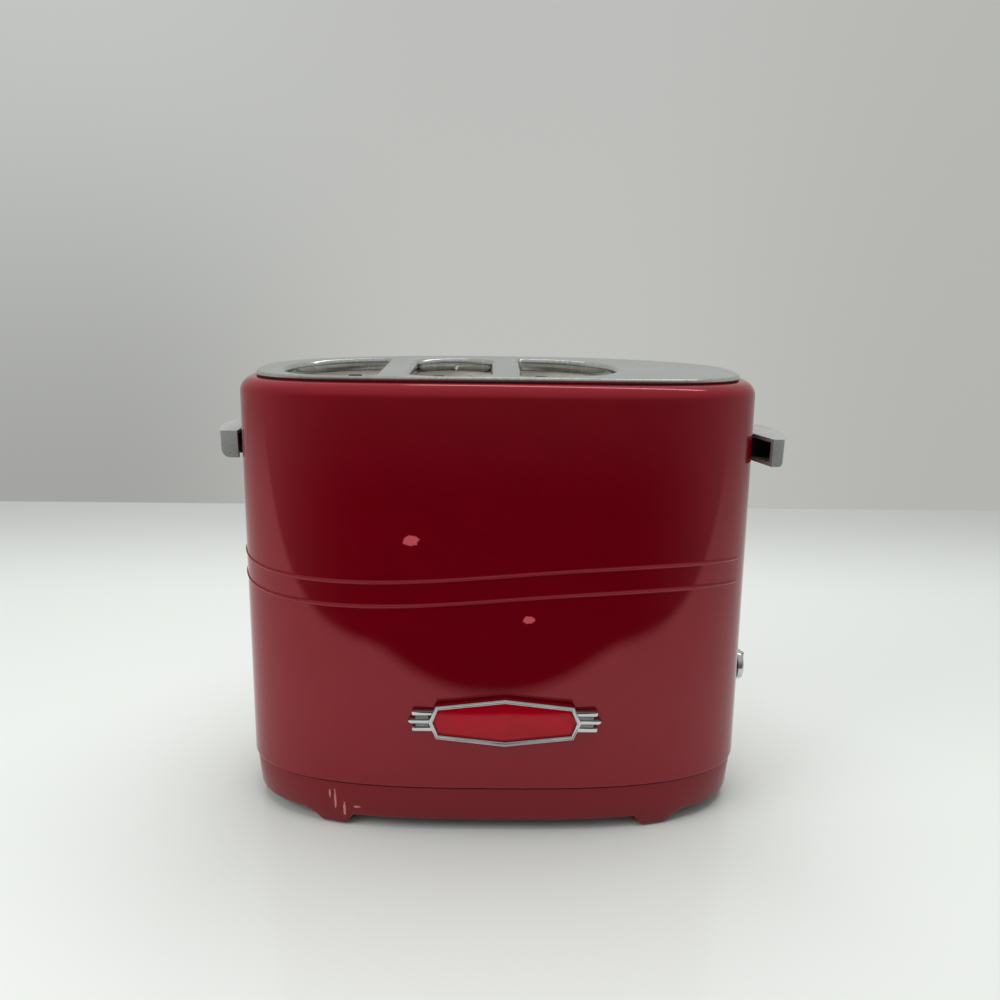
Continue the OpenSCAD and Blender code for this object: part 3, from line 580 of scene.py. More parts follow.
@dataclass(frozen=True)
class Form:
    """The outer form that the casing, base, plate and tray share."""

    half_w: float = 114.0
    half_d: float = 50.5
    squareness: float = 2.88
    draft: float = 3.5
    seam_z: float = 22.5
    draft_top: float = 190.0
    rim_z: float = 197.7
    crown: float = 1.6
    bead_wave: float = 3.7

    def half(self, z: float, inset: float = 0.0) -> tuple[float, float]:
        """Half width and half depth at height z, set in by inset."""
        lean = self.draft * (z - self.seam_z) / (self.draft_top - self.seam_z) + inset
        return self.half_w - lean, self.half_d - lean

    def fall(self, x: float) -> float:
        """How far the top has fallen away at x."""
        return self.crown * (x / self.half(self.rim_z)[0]) ** 2

    def at(self, angle: float, z: float, inset: float = 0.0, crowned: bool = False) -> Vector:
        """A point of the outline at an angle.

        Args:
            angle: Angle round the plan, in degrees.
            z: Height.
            inset: How far it is set in.
            crowned: Whether its height follows the crown of the top.

        Returns:
            The point.
        """
        a, b = self.half(z, inset)
        c, s = math.cos(math.radians(angle)), math.sin(math.radians(angle))
        k = (abs(c) ** self.squareness + abs(s) ** self.squareness) ** (-1 / self.squareness)
        x = a * c * k
        return Vector((x, b * s * k, z - (self.fall(x) if crowned else 0.0)))

    def outward(self, point: Vector, z: float, inset: float = 0.0) -> Vector:
        """The direction that the outline faces at a point, level."""
        a, b = self.half(z, inset)
        n = self.squareness - 1
        return Vector((math.copysign(abs(point.x / a) ** n / a, point.x),
                       math.copysign(abs(point.y / b) ** n / b, point.y), 0)).normalized()

    def back_y(self, x: float, z: float, inset: float = 0.0) -> float:
        """Where the surface lies on the back at x."""
        a, b = self.half(z, inset)
        return b * (1 - (abs(x) / a) ** self.squareness) ** (1 / self.squareness)

    def end_x(self, y: float, z: float, inset: float = 0.0) -> float:
        """Where the surface lies on the right end at y."""
        a, b = self.half(z, inset)
        return a * (1 - (abs(y) / b) ** self.squareness) ** (1 / self.squareness)

    def swell(self, angle: float) -> float:
        """Share of the beads' wave at an angle."""
        turn = angle - (90 if angle < 180 else 270)
        return math.sin(math.radians(2.6 * turn)) * min(1.0, max(0.0, (90 - abs(turn)) / 20))

    def bead(self, angle: float) -> float:
        """Share of the beads' height at an angle, which runs out near each side."""
        turn = angle - (90 if angle < 180 else 270)
        share = (turn + 84) / 8 if turn < 0 else (60 - turn) / 8
        return smooth_step(share)

    def prism(self, z: float, inset: float, low: float, high: float, count: int = 192) -> bmesh.types.BMesh:
        """A solid of the outline at height z, from low to high."""
        return solid([self.at(360 * i / count, z, inset) for i in range(count)], low, high)


def smooth_step(value: float) -> float:
    """Ease from 0 to 1."""
    t = min(1.0, max(0.0, value))
    return t * t * (3 - 2 * t)


FORM = Form()
RAIL_Y = -3.0
LEVER_Z = 166.0
TRAVEL = 72.0
DIAL_Z = 58.6
BUTTON_Y = 22.0
TRAY_X = (-75.75, 36.25)
TRAY_Z = (9.3, 17.8)


@dataclass
class Casing:
    """The glossy moulded casing, with its two waist beads and the cut-outs for levers, dial and button."""

    segments: int = 288
    wall: float = 2.0
    low_z: float = 22.75
    shoulder: float = 6.0
    flange_inset: float = 8.1
    bead_z: float = 120.0
    bead_gap: float = 10.4
    bead_proud: float = 0.5
    bead_half: float = 0.75
    slot_half: float = 2.9
    slot_low: float = 87.5
    slot_high: float = 173.5
    dial_bore: float = 4.0
    dial_bore_x: float = 103.0
    button_bore: float = 5.3
    bead_steps: int = 6
    turn_steps: int = 12
    inner_steps: int = 4

    def ring(self, inset: float, z: float, wave: float = 0.0, bead: float = 0.0, crowned: bool = False) -> Place:
        """A ring of the casing.

        Args:
            inset: How far it is set in.
            z: Its height.
            wave: Share of the beads' wave that it follows.
            bead: How far it stands out where the beads are full.
            crowned: Whether it follows the crown of the top.

        Returns:
            Where each point of the ring goes.
        """
        def place(i: int) -> Vector:
            angle = 360 * i / self.segments
            level = z + wave * FORM.bead_wave * FORM.swell(angle)
            return FORM.at(angle, level, inset - bead * FORM.bead(angle), crowned)
        return place

    def rings(self) -> list[Place]:
        """Every ring, up the outside, over the shoulder and down the inside."""
        rows = [self.ring(0.5, self.low_z), self.ring(0.15, self.low_z + 0.15), self.ring(0, self.low_z + 0.6),
                self.ring(0, self.low_z + 1.2)]
        for low in (1, 0):
            level = self.bead_z - low * self.bead_gap
            rows.append(self.ring(0, level - self.bead_half - 0.4, 1))
            for k in range(-self.bead_steps, self.bead_steps + 1):
                share = math.cos(math.pi / 2 * k / self.bead_steps) ** 2
                rows.append(self.ring(0, level + self.bead_half * k / self.bead_steps, 1, self.bead_proud * share))
            rows.append(self.ring(0, level + self.bead_half + 0.4, 1))
        turn_z = FORM.rim_z - self.shoulder
        rows += [self.ring(0, turn_z - 12), self.ring(0, turn_z - 1, crowned=True)]
        for step in range(self.turn_steps + 1):
            a = math.radians(90 * step / self.turn_steps)
            rows.append(self.ring(self.shoulder * (1 - math.cos(a)), turn_z + self.shoulder * math.sin(a),
                                  crowned=True))
        rows += [self.ring(self.flange_inset, FORM.rim_z, crowned=True),
                 self.ring(self.flange_inset, FORM.rim_z - self.wall, crowned=True)]
        inner = self.shoulder - self.wall
        for step in range(self.inner_steps, -1, -1):
            a = math.radians(90 * step / self.inner_steps)
            rows.append(self.ring(self.shoulder - inner * math.cos(a), turn_z + inner * math.sin(a), crowned=True))
        rows += [self.ring(self.wall, turn_z - 12), self.ring(self.wall, self.low_z)]
        return rows

    def cutters(self) -> bmesh.types.BMesh:
        """The lever slots and the round holes."""
        slots = [crate((x - 12, RAIL_Y - self.slot_half, self.slot_low),
                       (x + 12, RAIL_Y + self.slot_half, self.slot_high),
                       self.slot_half - 0.05, 8, along=0) for x in (-FORM.half_w, FORM.half_w)]
        bores = [laid(turned([(0, 0), (r, 0), (r, 20), (0, 20)], 48), (1, 0, 0), (x, y, DIAL_Z))
                 for r, x, y in ((self.dial_bore, self.dial_bore_x, 0),
                                 (self.button_bore, FORM.end_x(BUTTON_Y, DIAL_Z) - 10, BUTTON_Y))]
        gland = laid(turned([(0, -8), (5.3, -8), (5.3, 8), (0, 8)], 48), Gland.direction(), Gland.place())
        return joined(slots + bores + [gland])

    def build(self) -> None:
        """Make the casing."""
        make("casing", carve(weave(self.segments, self.rings()), self.cutters()), "housing", ["body_shell"],
             CASING_RED, smooth=40)


@dataclass
class Base:
    """The satin skirt with its four formed feet, the rubber pads under them and the tray's front."""

    low_z: float = 5.5
    top_z: float = 22.25
    top_inset: float = 0.8
    lean: float = 1.4
    wall: float = 2.2
    lip: float = 3.8
    lip_inset: float = 2.3
    foot_x: float = 63.0
    foot_deep: float = 10.0
    foot_low: float = 0.8
    pad: tuple = (71.2, 38.41, 3.2)
    foot: tuple = ((0, 0), (2.5, 1), (14, 1), (15.4, 0.79), (16.6, 0.53), (18.6, 0.36), (22, 0))
    foot_starts: tuple = (43, 120, 223, 300)
    tray_gap: float = 0.5

    def angles(self) -> list[float]:
        """Angles of the ring's points, closer together where the feet are."""
        even = [1.5 * i for i in range(240)]
        fine = [start + 0.3 * i for start in self.foot_starts for i in range(58)]
        near = [a for a in even if not any(s - 0.2 < a < s + 17.3 for s in self.foot_starts)]
        return sorted(near + fine)

    def dip(self, x: float) -> float:
        """Share of the foot's height at x, from 0 beside it to 1 under it, with its corners eased."""
        total = 0.0
        for shift in (-0.8, -0.4, 0, 0.4, 0.8):
            far = abs(x) - self.foot_x + shift
            for (x0, h0), (x1, h1) in zip(self.foot, self.foot[1:]):
                if x0 <= far < x1:
                    total += h0 + (h1 - h0) * (far - x0) / (x1 - x0)
        return total / 5

    def rows(self, angles: Sequence[float], feet: bool) -> list[Place]:
        """Every ring of the skirt.

        Args:
            angles: Angles of a ring's points.
            feet: Whether its lower edge runs down into the feet.

        Returns:
            Where the points of each ring go, from the lower edge up the outside and down the inside.
        """
        foot_in = self.top_inset + self.lean

        def plain(inset: float, z: float) -> Place:
            return lambda i: FORM.at(angles[i], z, inset)

        def low(inset: float, rise: float, deep: float) -> Place:
            def place(i: int) -> Vector:
                x = FORM.at(angles[i], self.low_z, inset).x
                share = self.dip(x) if feet else 0.0
                if deep and share > 0.02:
                    point = FORM.at(angles[i], self.low_z, foot_in + self.foot_deep - 0.4)
                else:
                    point = FORM.at(angles[i], self.low_z, inset + deep * self.wall)
                point.z = self.low_z + rise - share * (self.low_z - self.foot_low)
                return point
            return place

        def ledge(z: float) -> Place:
            def place(i: int) -> Vector:
                share = self.dip(FORM.at(angles[i], self.low_z, foot_in).x) if feet else 0.0
                inset = foot_in + (self.foot_deep - 0.4 if share > 0.02 else self.wall)
                point = FORM.at(angles[i], self.low_z, inset)
                point.z = z
                return point
            return place

        outer = [low(foot_in + 0.8, 0, 0), low(foot_in + 0.25, 0.2, 0), low(foot_in + 0.02, 0.8, 0),
                 plain(foot_in - 0.1, self.low_z + 1.4)]
        top = [plain(self.top_inset, self.top_z - 0.5), plain(self.top_inset + 0.15, self.top_z - 0.12),
               plain(self.top_inset + 0.5, self.top_z), plain(self.lip_inset, self.top_z),
               plain(self.lip_inset, self.top_z + self.lip), plain(self.lip_inset + 1.6, self.top_z + self.lip)]
        inner = [plain(self.top_inset + self.wall + 0.9, self.top_z), plain(foot_in + self.wall, self.low_z + 0.62),
                 ledge(self.low_z + 0.6), low(foot_in + 0.9, 0, 1)]
        return outer + top + inner

    def skirt(self) -> None:
        """Make the skirt, with its window for the tray."""
        angles = self.angles()
        band = weave(len(angles), self.rows(angles, True))
        gap = self.tray_gap
        window = crate((TRAY_X[0] - gap, 0, TRAY_Z[0] - gap), (TRAY_X[1] + gap, 60, TRAY_Z[1] + gap), 1.0, 3, along=1)
        pegs = [laid(turned([(0, -1), (1.52, -1), (1.52, 3), (0, 3)], 24), (0, 0, 1), (x, y, 0))
                for x in (-self.pad[0], self.pad[0]) for y in (-self.pad[1], self.pad[1])]
        make("base_skirt_piece", carve(band, joined([window] + pegs)), "housing", ["base_skirt"], BASE_RED)

    def pads(self) -> None:
        """Make the four rubber pads with their pegs."""
        x, y, r = self.pad
        profile = [(0, 0), (r - 0.9, 0), (r - 0.9, 0.25), (r - 0.6, 0.25), (r - 0.6, 0), (r - 0.3, 0),
                   (r - 0.05, 0.12), (r, 0.3), (r, 0.76), (1.5, 0.8), (1.5, 2.5), (1.2, 2.8), (0, 2.8)]
        spots = [laid(turned(profile, 40), (0, 0, 1), (sx * x, sy * y, 0)) for sx in (-1, 1) for sy in (-1, 1)]
        make("foot_pad_set", joined(spots), "housing", ["foot_pads"], RUBBER)

    def tray_front(self) -> None:
        """Make the tray's front, which fills the window of the skirt."""
        angles = [1.0 * i for i in range(360)]
        band = weave(len(angles), self.rows(angles, False))
        block = crate((TRAY_X[0], 0, TRAY_Z[0]), (TRAY_X[1], 60, TRAY_Z[1]), 0.9, 3, along=1)
        make("tray_front", carve(band, block, "INTERSECT"), "tray", ["tray_panel"], BASE_RED)

    def build(self) -> None:
        """Make the whole base."""
        self.skirt()
        self.pads()
        self.tray_front()


class Opening(Enum):
    """The three food openings, from left to right."""

    LEFT = "left bun"
    MIDDLE = "hot dogs"
    RIGHT = "right bun"


@dataclass
class Outline:
    """A closed line in plan with the direction that it faces at each point."""

    points: list[Vector]
    faces: list[Vector]

    def away(self, i: int, far: float) -> Vector:
        """Point i moved outwards."""
        return self.points[i] + self.faces[i] * far


@dataclass
class FoodOpenings:
    """The plans of the openings, which the plate and the liners share."""

    bun_w: float = 41.0
    half: float = 31.5
    middle_y: float = -3.0
    bun_squareness: float = 2.3
    flats: tuple = (-50.0, 9.5)
    dog_x: float = -19.75
    dog_w: float = 33.5
    dog_half: float = 32.0
    dog_y: float = -4.5
    dog_bow: float = 7.5
    corner: float = 2.4
    made: dict = field(default_factory=dict)

    def bun(self, x: float, side: int) -> list[tuple[float, float]]:
        """Corner points of a bun opening with its flat side at x."""
        n = self.bun_squareness
        round_side = []
        for t in range(-86, 87, 2):
            c, s = math.cos(math.radians(t)), math.sin(math.radians(t))
            k = (abs(c) ** n + abs(s) ** n) ** (-1 / n)
            round_side.append((x + side * self.bun_w * c * k, self.middle_y + self.half * s * k))
        return [(x, self.middle_y - self.half)] + round_side + [(x, self.middle_y + self.half)]

    def dog(self) -> list[tuple[float, float]]:
        """Corner points of the hot dog opening."""
        points = []
        for end in (-1, 1):
            for i in range(-16, 17):
                if 13.5 < abs(i) < 16:
                    continue
                y = end * (self.dog_half - self.dog_bow * (i / 16) ** 2)
                points.append((self.dog_x - end * self.dog_w / 2 * i / 16, self.dog_y + y))
        return points

    def outline(self, which: Opening) -> Outline:
        """The plan of an opening with its corners rounded.

        Args:
            which: The opening.

        Returns:
            Its outline, facing away from the opening.
        """
        if which in self.made:
            return self.made[which]
        if which is Opening.MIDDLE:
            points = self.dog()
        else:
            points = self.bun(self.flats[0], -1) if which is Opening.LEFT else self.bun(self.flats[1], 1)
        bm = bmesh.new()
        verts = bmesh.ops.create_circle(bm, cap_ends=True, segments=len(points), radius=1.0)["verts"]
        for vert, (x, y) in zip(verts, points):
            vert.co = (x, y, 0)
        sharp = [v for v in verts if self.turn_at(v) > 50]
        bmesh.ops.bevel(bm, geom=sharp, offset=self.corner, affect="VERTICES", segments=7, profile=0.5, material=-1)
        bm.faces.ensure_lookup_table()
        bm.normal_update()
        loop = [l.vert.co.copy() for l in bm.faces[0].loops]
        if bm.faces[0].normal.z < 0:
            loop.reverse()
        bm.free()
        facing = []
        for i, point in enumerate(loop):
            before, after = point - loop[i - 1], loop[(i + 1) % len(loop)] - point
            side = [Vector((d.y, -d.x, 0)).normalized() for d in (before, after)]
            weight = (after.length, before.length)
            facing.append((side[0] * weight[0] + side[1] * weight[1]).normalized())
        self.made[which] = Outline(loop, facing)
        return self.made[which]

    @staticmethod
    def turn_at(vert: bmesh.types.BMVert) -> float:
        """How sharply the outline turns at a vertex, in degrees."""
        a, b = (e.other_vert(vert).co - vert.co for e in vert.link_edges)
        return 180 - math.degrees(a.angle(b))


OPENINGS = FoodOpenings()


@dataclass
class TopPlate:
    """The brushed plate with its rolled edge and the rolled rims of its openings."""

    top: float = 200.0
    inset: float = 6.7
    edge_roll: float = 1.1
    edge_h: float = 1.7
    rim_roll: float = 1.9
    rim_h: float = 5.5
    sheet: float = 0.8
    segments: int = 240
    strip: float = 8.0
    strips: int = 12

    def edge_loop(self) -> Outline:
        """Where the plate's outer edge starts to roll down."""
        z, inset = FORM.draft_top, self.inset + self.edge_roll
        points = [FORM.at(360 * i / self.segments, z, inset) for i in range(self.segments)]
        for point in points:
            point.z = 0
        return Outline(points, [FORM.outward(p, z, inset) for p in points])

    def build(self) -> None:
        """Make the plate, and the gasket under its edge."""
        bm = bmesh.new()
        home, way = (bm.verts.layers.float_vector.new(n) for n in ("home", "way"))
        kind = bm.verts.layers.float.new("kind")
        loops = [(0.0, self.edge_loop(), 0.0, 1.0)]
        loops += [(1.0, OPENINGS.outline(which), self.rim_roll, -1.0) for which in Opening]
        for number, line, grow, sense in loops:
            ring = bmesh.ops.create_circle(bm, segments=len(line.points), radius=1.0)["verts"]
            for i, vert in enumerate(ring):
                vert.co = line.away(i, grow)
                vert[way] = line.faces[i] * sense
                vert[kind] = number
        bmesh.ops.triangle_fill(bm, edges=bm.edges, use_beauty=True, use_dissolve=False, normal=(0, 0, 1))
        for k in range(-self.strips, self.strips + 1):
            bmesh.ops.bisect_plane(bm, geom=bm.verts[:] + bm.edges[:] + bm.faces[:], dist=0.0001,
                                   plane_co=(k * self.strip, 0, 0), plane_no=(1, 0, 0))
        for vert in bm.verts:
            vert[home] = vert.co
            vert.co.z = self.top - FORM.fall(vert.co.x)
        sheet_faces = set(bm.faces)
        for number, roll, depth in ((0.0, self.edge_roll, self.edge_h), (1.0, self.rim_roll, self.rim_h)):
            edges = [e for e in bm.edges if e.is_boundary and all(abs(v[kind] - number) < 0.01 for v in e.verts)]
            steps = [(roll * math.sin(a), roll * (1 - math.cos(a)))
                     for a in (math.radians(d) for d in range(15, 91, 15))] + [(roll, depth)]
            for out, down in steps:
                made = bmesh.ops.extrude_edge_only(bm, edges=edges)["geom"]
                fresh = {g for g in made if isinstance(g, bmesh.types.BMVert)}
                for vert in fresh:
                    point = vert[home] + vert[way].normalized() * out
                    vert.co = (point.x, point.y, self.top - FORM.fall(point.x) - down)
                edges = [g for g in made if isinstance(g, bmesh.types.BMEdge) and fresh.issuperset(g.verts)]
        for face in bm.faces:
            if face not in sheet_faces:
                face.material_index = 1
        piece = make("top_sheet", bm, "housing", ["top_plate"], PLATE_STEEL, [RIM_STEEL], smooth=50)
        wall = piece.modifiers.new("sheet", "SOLIDIFY")
        wall.thickness, wall.offset = self.sheet * MM, -1
        self.gasket()

    def gasket(self) -> None:
        """Make the soft ring that the plate's edge rests on."""
        def ring(inset: float, z: float) -> Place:
            def place(i: int) -> Vector:
                point = FORM.at(360 * i / self.segments, FORM.draft_top, inset)
                point.z = z - FORM.fall(point.x)
                return point
            return place
        low, high = FORM.rim_z + 0.05, self.top - self.edge_h - 0.05
        rows = [ring(self.inset + 0.4, low), ring(self.inset + 0.4, high - 0.1), ring(self.inset + 0.6, high),
                ring(self.inset + 1.4, high), ring(self.inset + 1.4, low)]
        make("edge_gasket", weave(self.segments, rows), "housing", ["plate_gasket"], RUBBER)


@dataclass
class Liners:
    """The bright sheet walls of the three places for food."""

    grow: float = 1.1
    sheet: float = 0.6
    low: float = 20.0
    high: float = 195.0
    slot_half: float = 3.25
    slots: tuple = ((Opening.LEFT, (-67.0,)), (Opening.MIDDLE, (-28.125, -11.375)), (Opening.RIGHT, (20.5,)))

    def windows(self, x: float) -> list[bmesh.types.BMesh]:
        """The windows that let the heat through a flat wall at x."""
        levels = range(44, 164, 15)
        return [crate((x - 2.5, -22.5, z), (x + 2.5, 16.5, z + 11), 1.5, 3, along=0) for z in levels]

    def build(self) -> None:
        """Make the three liners."""
        for which, slots in self.slots:
            line = OPENINGS.outline(which)
            rows = [lambda i, g=g, z=z: line.away(i, g) + Vector((0, 0, z))
                    for g, z in ((self.grow, self.low), (self.grow, self.high), (self.grow + self.sheet, self.high),
                                 (self.grow + self.sheet, self.low))]
            wall = self.grow + self.sheet / 2
            if which is Opening.MIDDLE:
                tools = self.windows(OPENINGS.dog_x - OPENINGS.dog_w / 2 - wall)
                tools += self.windows(OPENINGS.dog_x + OPENINGS.dog_w / 2 + wall)
            else:
                left = which is Opening.LEFT
                tools = self.windows(OPENINGS.flats[0] + wall if left else OPENINGS.flats[1] - wall)
            tools += [crate((x - self.slot_half, 5, 36), (x + self.slot_half, 34.1, 192), 1.0, 3, along=1)
                      for x in slots]
            node = {Opening.LEFT: "bun_liner_left", Opening.MIDDLE: "hot_dog_liner",
                    Opening.RIGHT: "bun_liner_right"}[which]
            make(node + "_wall", carve(weave(len(line.points), rows), joined(tools)), "housing", [node], LINER_STEEL)


@dataclass
class Badge:
    """The bare badge of the front: a boss, a chromed double frame, an enamel field and three-bar wings."""

    x: float = 4.1
    z: float = 55.9
    half_w: float = 32.3
    half_h: float = 11.0
    proud: float = 3.4
    back: float = 1.5
    shoulder: float = 0.905
    rise: float = 0.69
    field_in: float = 1.93
    wing_len: float = 41.0
    wing_h: float = 2.2
    wing_pitch: float = 3.7
    wing_drop: float = 1.8

    def corner(self, i: int, shrink: float, out: float) -> Vector:
        """Corner i of the badge's outline.

        Args:
            i: Its number, from 0 to 7.
            shrink: How far the outline is drawn in.
            out: How far in front of the casing it lies.

        Returns:
            The corner in the toaster's frame.
        """
        w, h = self.half_w - shrink, self.half_h - shrink
        s, rise = self.shoulder * self.half_w - 0.6 * shrink, self.rise * self.half_h - 0.9 * shrink
        u, v = ((-w, 0), (-s, rise), (0, h), (s, rise), (w, 0), (s, -rise), (0, -h), (-s, -rise))[i]
        front = -FORM.half(self.z)[1] - out
        return Vector((self.x + u, front, self.z + v))

    def row(self, shrink: float, out: float) -> Place:
        """A ring of the badge's outline."""
        return lambda i: self.corner(i, shrink, out)

    def outside(self) -> bmesh.types.BMesh:
        """The room that the casing takes behind the badge."""
        return FORM.prism(self.z - self.half_h, -0.1, self.z - 20, self.z + 20)

    def boss(self) -> None:
        """Make the red block that carries the frame."""
        rows = [self.row(0.3, -3), self.row(0.3, self.proud - self.back)]
        block = rounded_corners(cap(weave(8, rows, closed=False)), 0.35, 2, 20)
        make("badge_block", carve(block, self.outside()), "housing", ["badge_boss"], CASING_RED)

    def rim(self) -> None:
        """Make the frame: a broad outer rim, a dark groove and a thin inner rim."""
        top = self.proud
        rows = [(0.25, top - self.back), (0, top - self.back + 0.3), (0, top - 0.4), (0.1, top - 0.12), (0.32, top),
                (0.55, top - 0.03), (0.78, top - 0.2), (0.86, top - 0.5), (1.28, top - 0.55), (1.34, top - 0.36),
                (1.5, top - 0.2), (1.68, top - 0.22), (1.82, top - 0.42), (1.9, top - 1.0), (1.9, top - self.back)]
        make("badge_rim", weave(8, [self.row(*r) for r in rows]), "housing", ["badge_frame"], CHROME, smooth=50)

    def field(self) -> None:
        """Make the bare enamel field, a little pillowed."""
        base = self.field_in
        rows = [(base, self.proud - self.back), (base, self.proud - 1.3), (base + 0.3, self.proud - 1.15)]
        rows += [(base + 0.3 + d, self.proud - 1.15 + 0.5 * (1 - (1 - d / 7) ** 2)) for d in (1, 2, 3, 4, 5, 6)]
        bm = cap(weave(8, [self.row(*r) for r in rows], closed=False))
        make("badge_enamel_field", bm, "housing", ["badge_field"], ENAMEL, smooth=40)

    def wings(self) -> None:
        """Make the three bars at each end of the badge, and the web behind them."""
        front = -FORM.half(self.z)[1] - self.proud + self.wing_drop
        parts = []
        for side in (-1, 1):
            for k in (-1, 0, 1):
                far = self.wing_len - (1.6 if k else 0)
                xs = sorted((self.x + side * (self.half_w - 5), self.x + side * far))
                z = self.z + k * self.wing_pitch
                bar = crate((xs[0], front, z - self.wing_h / 2), (xs[1], front + 12, z + self.wing_h / 2))
                tip = [e for e in bar.edges if all(abs(v.co.x - (self.x + side * far)) < 0.01 for v in e.verts)
                       and abs(e.verts[0].co.z - e.verts[1].co.z) < 0.01]
                bmesh.ops.bevel(bar, geom=tip, offset=1.0 if k == 0 else 0.7, affect="EDGES",
                                segments=1 if k == 0 else 3, profile=0.5, material=-1)
                parts.append(rounded_corners(bar, 0.32, 2, 30))
            xs = sorted((self.x + side * (self.half_w - 5), self.x + side * (self.wing_len - 3)))
            parts.append(crate((xs[0], front + 1.6, self.z - self.wing_pitch), (xs[1], front + 12,
                                                                             self.z + self.wing_pitch)))
        shape = parts[0]
        for part in parts[1:]:
            shape = carve(shape, part, "UNION")
        shape = carve(shape, self.outside())
        body = cap(weave(8, [self.row(0.25, -9), self.row(0.25, self.proud + 1)], closed=False))
        lid = cap(weave(8, [self.row(-0.06, self.proud - self.back - 0.05), self.row(-0.06, self.proud + 1)],
                        closed=False))
        shape = carve(carve(shape, body), lid)
        make("badge_wing_bars", shape, "housing", ["badge_wings"], CHROME, smooth=40)

    def build(self) -> None:
        """Make the whole badge."""
        self.boss()
        self.rim()
        self.field()
        self.wings()


@dataclass
class Gland:
    """The bush in the back wall where the cord goes in."""

    x: float = 42.0
    z: float = 36.0
    turn: float = 4.1
    radius: float = 5.0
    bore: float = 3.5

    @classmethod
    def place(cls) -> Vector:
        """Its middle on the casing's back."""
        return Vector((cls.x, FORM.back_y(cls.x, cls.z), cls.z))

    @classmethod
    def direction(cls) -> Vector:
        """The way that it faces, level and out of the back."""
        return Vector((math.sin(math.radians(cls.turn)), math.cos(math.radians(cls.turn)), 0))

    def build(self) -> None:
        """Make the bush, with a ribbed collar."""
        r, b = self.radius, self.bore
        profile = [(b, -6), (r - 0.4, -6), (r, -5.6), (r, -4.8), (r + 1.4, -4.8), (r + 1.4, -2.9), (r, -2.8), (r, 0.3),
                   (r + 1.8, 0.3), (r + 2, 0.6), (r + 1.75, 1.2), (r + 1.4, 1.3), (r + 1.55, 1.7), (r + 1.45, 2.2),
                   (r + 1.1, 2.3), (r + 1.2, 2.8), (r + 1.0, 3.4), (r + 0.5, 3.7), (b + 0.5, 3.7), (b, 3.3)]
        make("cord_bush", laid(turned(profile, 48), self.direction(), self.place()), "housing", ["cord_gland"],
             DARK_PLASTIC)


@dataclass
class Knob:
    """A chromed lever knob: hollow, with a bowed side and a face at its front."""

    name: str
    node: str
    side: int
    reach: float
    front_y: float
    length: float
    open: bool
    corner: float
    face: float = 4.5
    height: float = 12.0
    wall: float = 1.6
    bow: float = 3.8
    arm: tuple = (3.0, 10.0)
    steps: int = 36

    @property
    def gap(self) -> float:
        """Its clearance from the casing, which widens towards its foot."""
        return FORM.half(LEVER_Z - TRAVEL)[0] - FORM.half(LEVER_Z)[0] + 0.4

    def side_at(self, y: float) -> float:
        """How far its side stands out at y behind its front."""
        return self.reach - self.gap - self.bow * (abs(y - self.length / 2) / 18) ** 2.3

    def plan(self, inset: float, trim: float, room: bool) -> list[tuple[float, float]]:
        """Plan points at one level.

        Args:
            inset: How far the bowed side is drawn in.
            trim: How far both ends are drawn in.
            room: Whether it is the room inside, which runs out of the inner side.

        Returns:
            The points, from the front over the bowed side to the back.
        """
        front = self.side_at(0)
        start, end = [(0.0, 0.0), (0.3 * front, 0.0)], [(0.0, self.length)]
        if self.open:
            start = [(0.0, 13.0), (front - self.face, 0.0)]
        if room:
            start, end = [(-1.0, trim)], [(-1.0, self.length - trim)]
        curve = []
        for i in range(self.steps + 1):
            y = trim + (self.length - 2 * trim) * i / self.steps
            curve.append((self.side_at(y) - inset, y))
        return start + curve + end

    def stack(self, levels: Sequence[tuple[float, float, float]], room: bool = False) -> bmesh.types.BMesh:
        """A solid through plans at several levels, as (inset, trim, height)."""
        plans = [(self.plan(inset, trim, room), z) for inset, trim, z in levels]
        count = len(plans[0][0])
        return cap(weave(count, [lambda i, p=p, z=z: Vector((p[i][0], p[i][1], z)) for p, z in plans], closed=False))

    def build(self) -> None:
        """Make the knob."""
        low, top = LEVER_Z - self.height / 2, LEVER_Z + self.height / 2
        levels = []
        for step in range(0, 8):
            a = math.radians(90 * step / 7)
            levels.append((self.corner * (1 - math.sin(a)), 0.0, low + self.corner * (1 - math.cos(a))))
        levels.append((0.0, 0.0, top))
        body = rounded_corners(self.stack(levels), 0.9, 5, 50)
        base = low + 1.4 if self.open else low - 1
        room = self.stack([(self.wall, self.wall, base), (self.wall, self.wall, top - self.wall)], True)
        at = RAIL_Y - self.front_y
        half, high = self.arm[0] / 2, self.arm[1] / 2
        reach = min(self.side_at(at - half), self.side_at(at + half)) - self.wall
        grip = crate((reach - 3, at - 4, low - 2), (self.reach, at + 4, top + 1))
        body = carve(body, carve(room, grip))
        body = carve(body, crate((-2, at - half, LEVER_Z - high), (reach, at + half, LEVER_Z + high)))
        if self.side < 0:
            bmesh.ops.scale(body, vec=(-1, 1, 1), verts=body.verts)
        inner = FORM.half(LEVER_Z)[0] + self.gap
        bmesh.ops.translate(body, vec=(self.side * inner, self.front_y, 0), verts=body.verts)
        make(self.name, body, "carriage", [self.node], HAZED_CHROME, smooth=35)


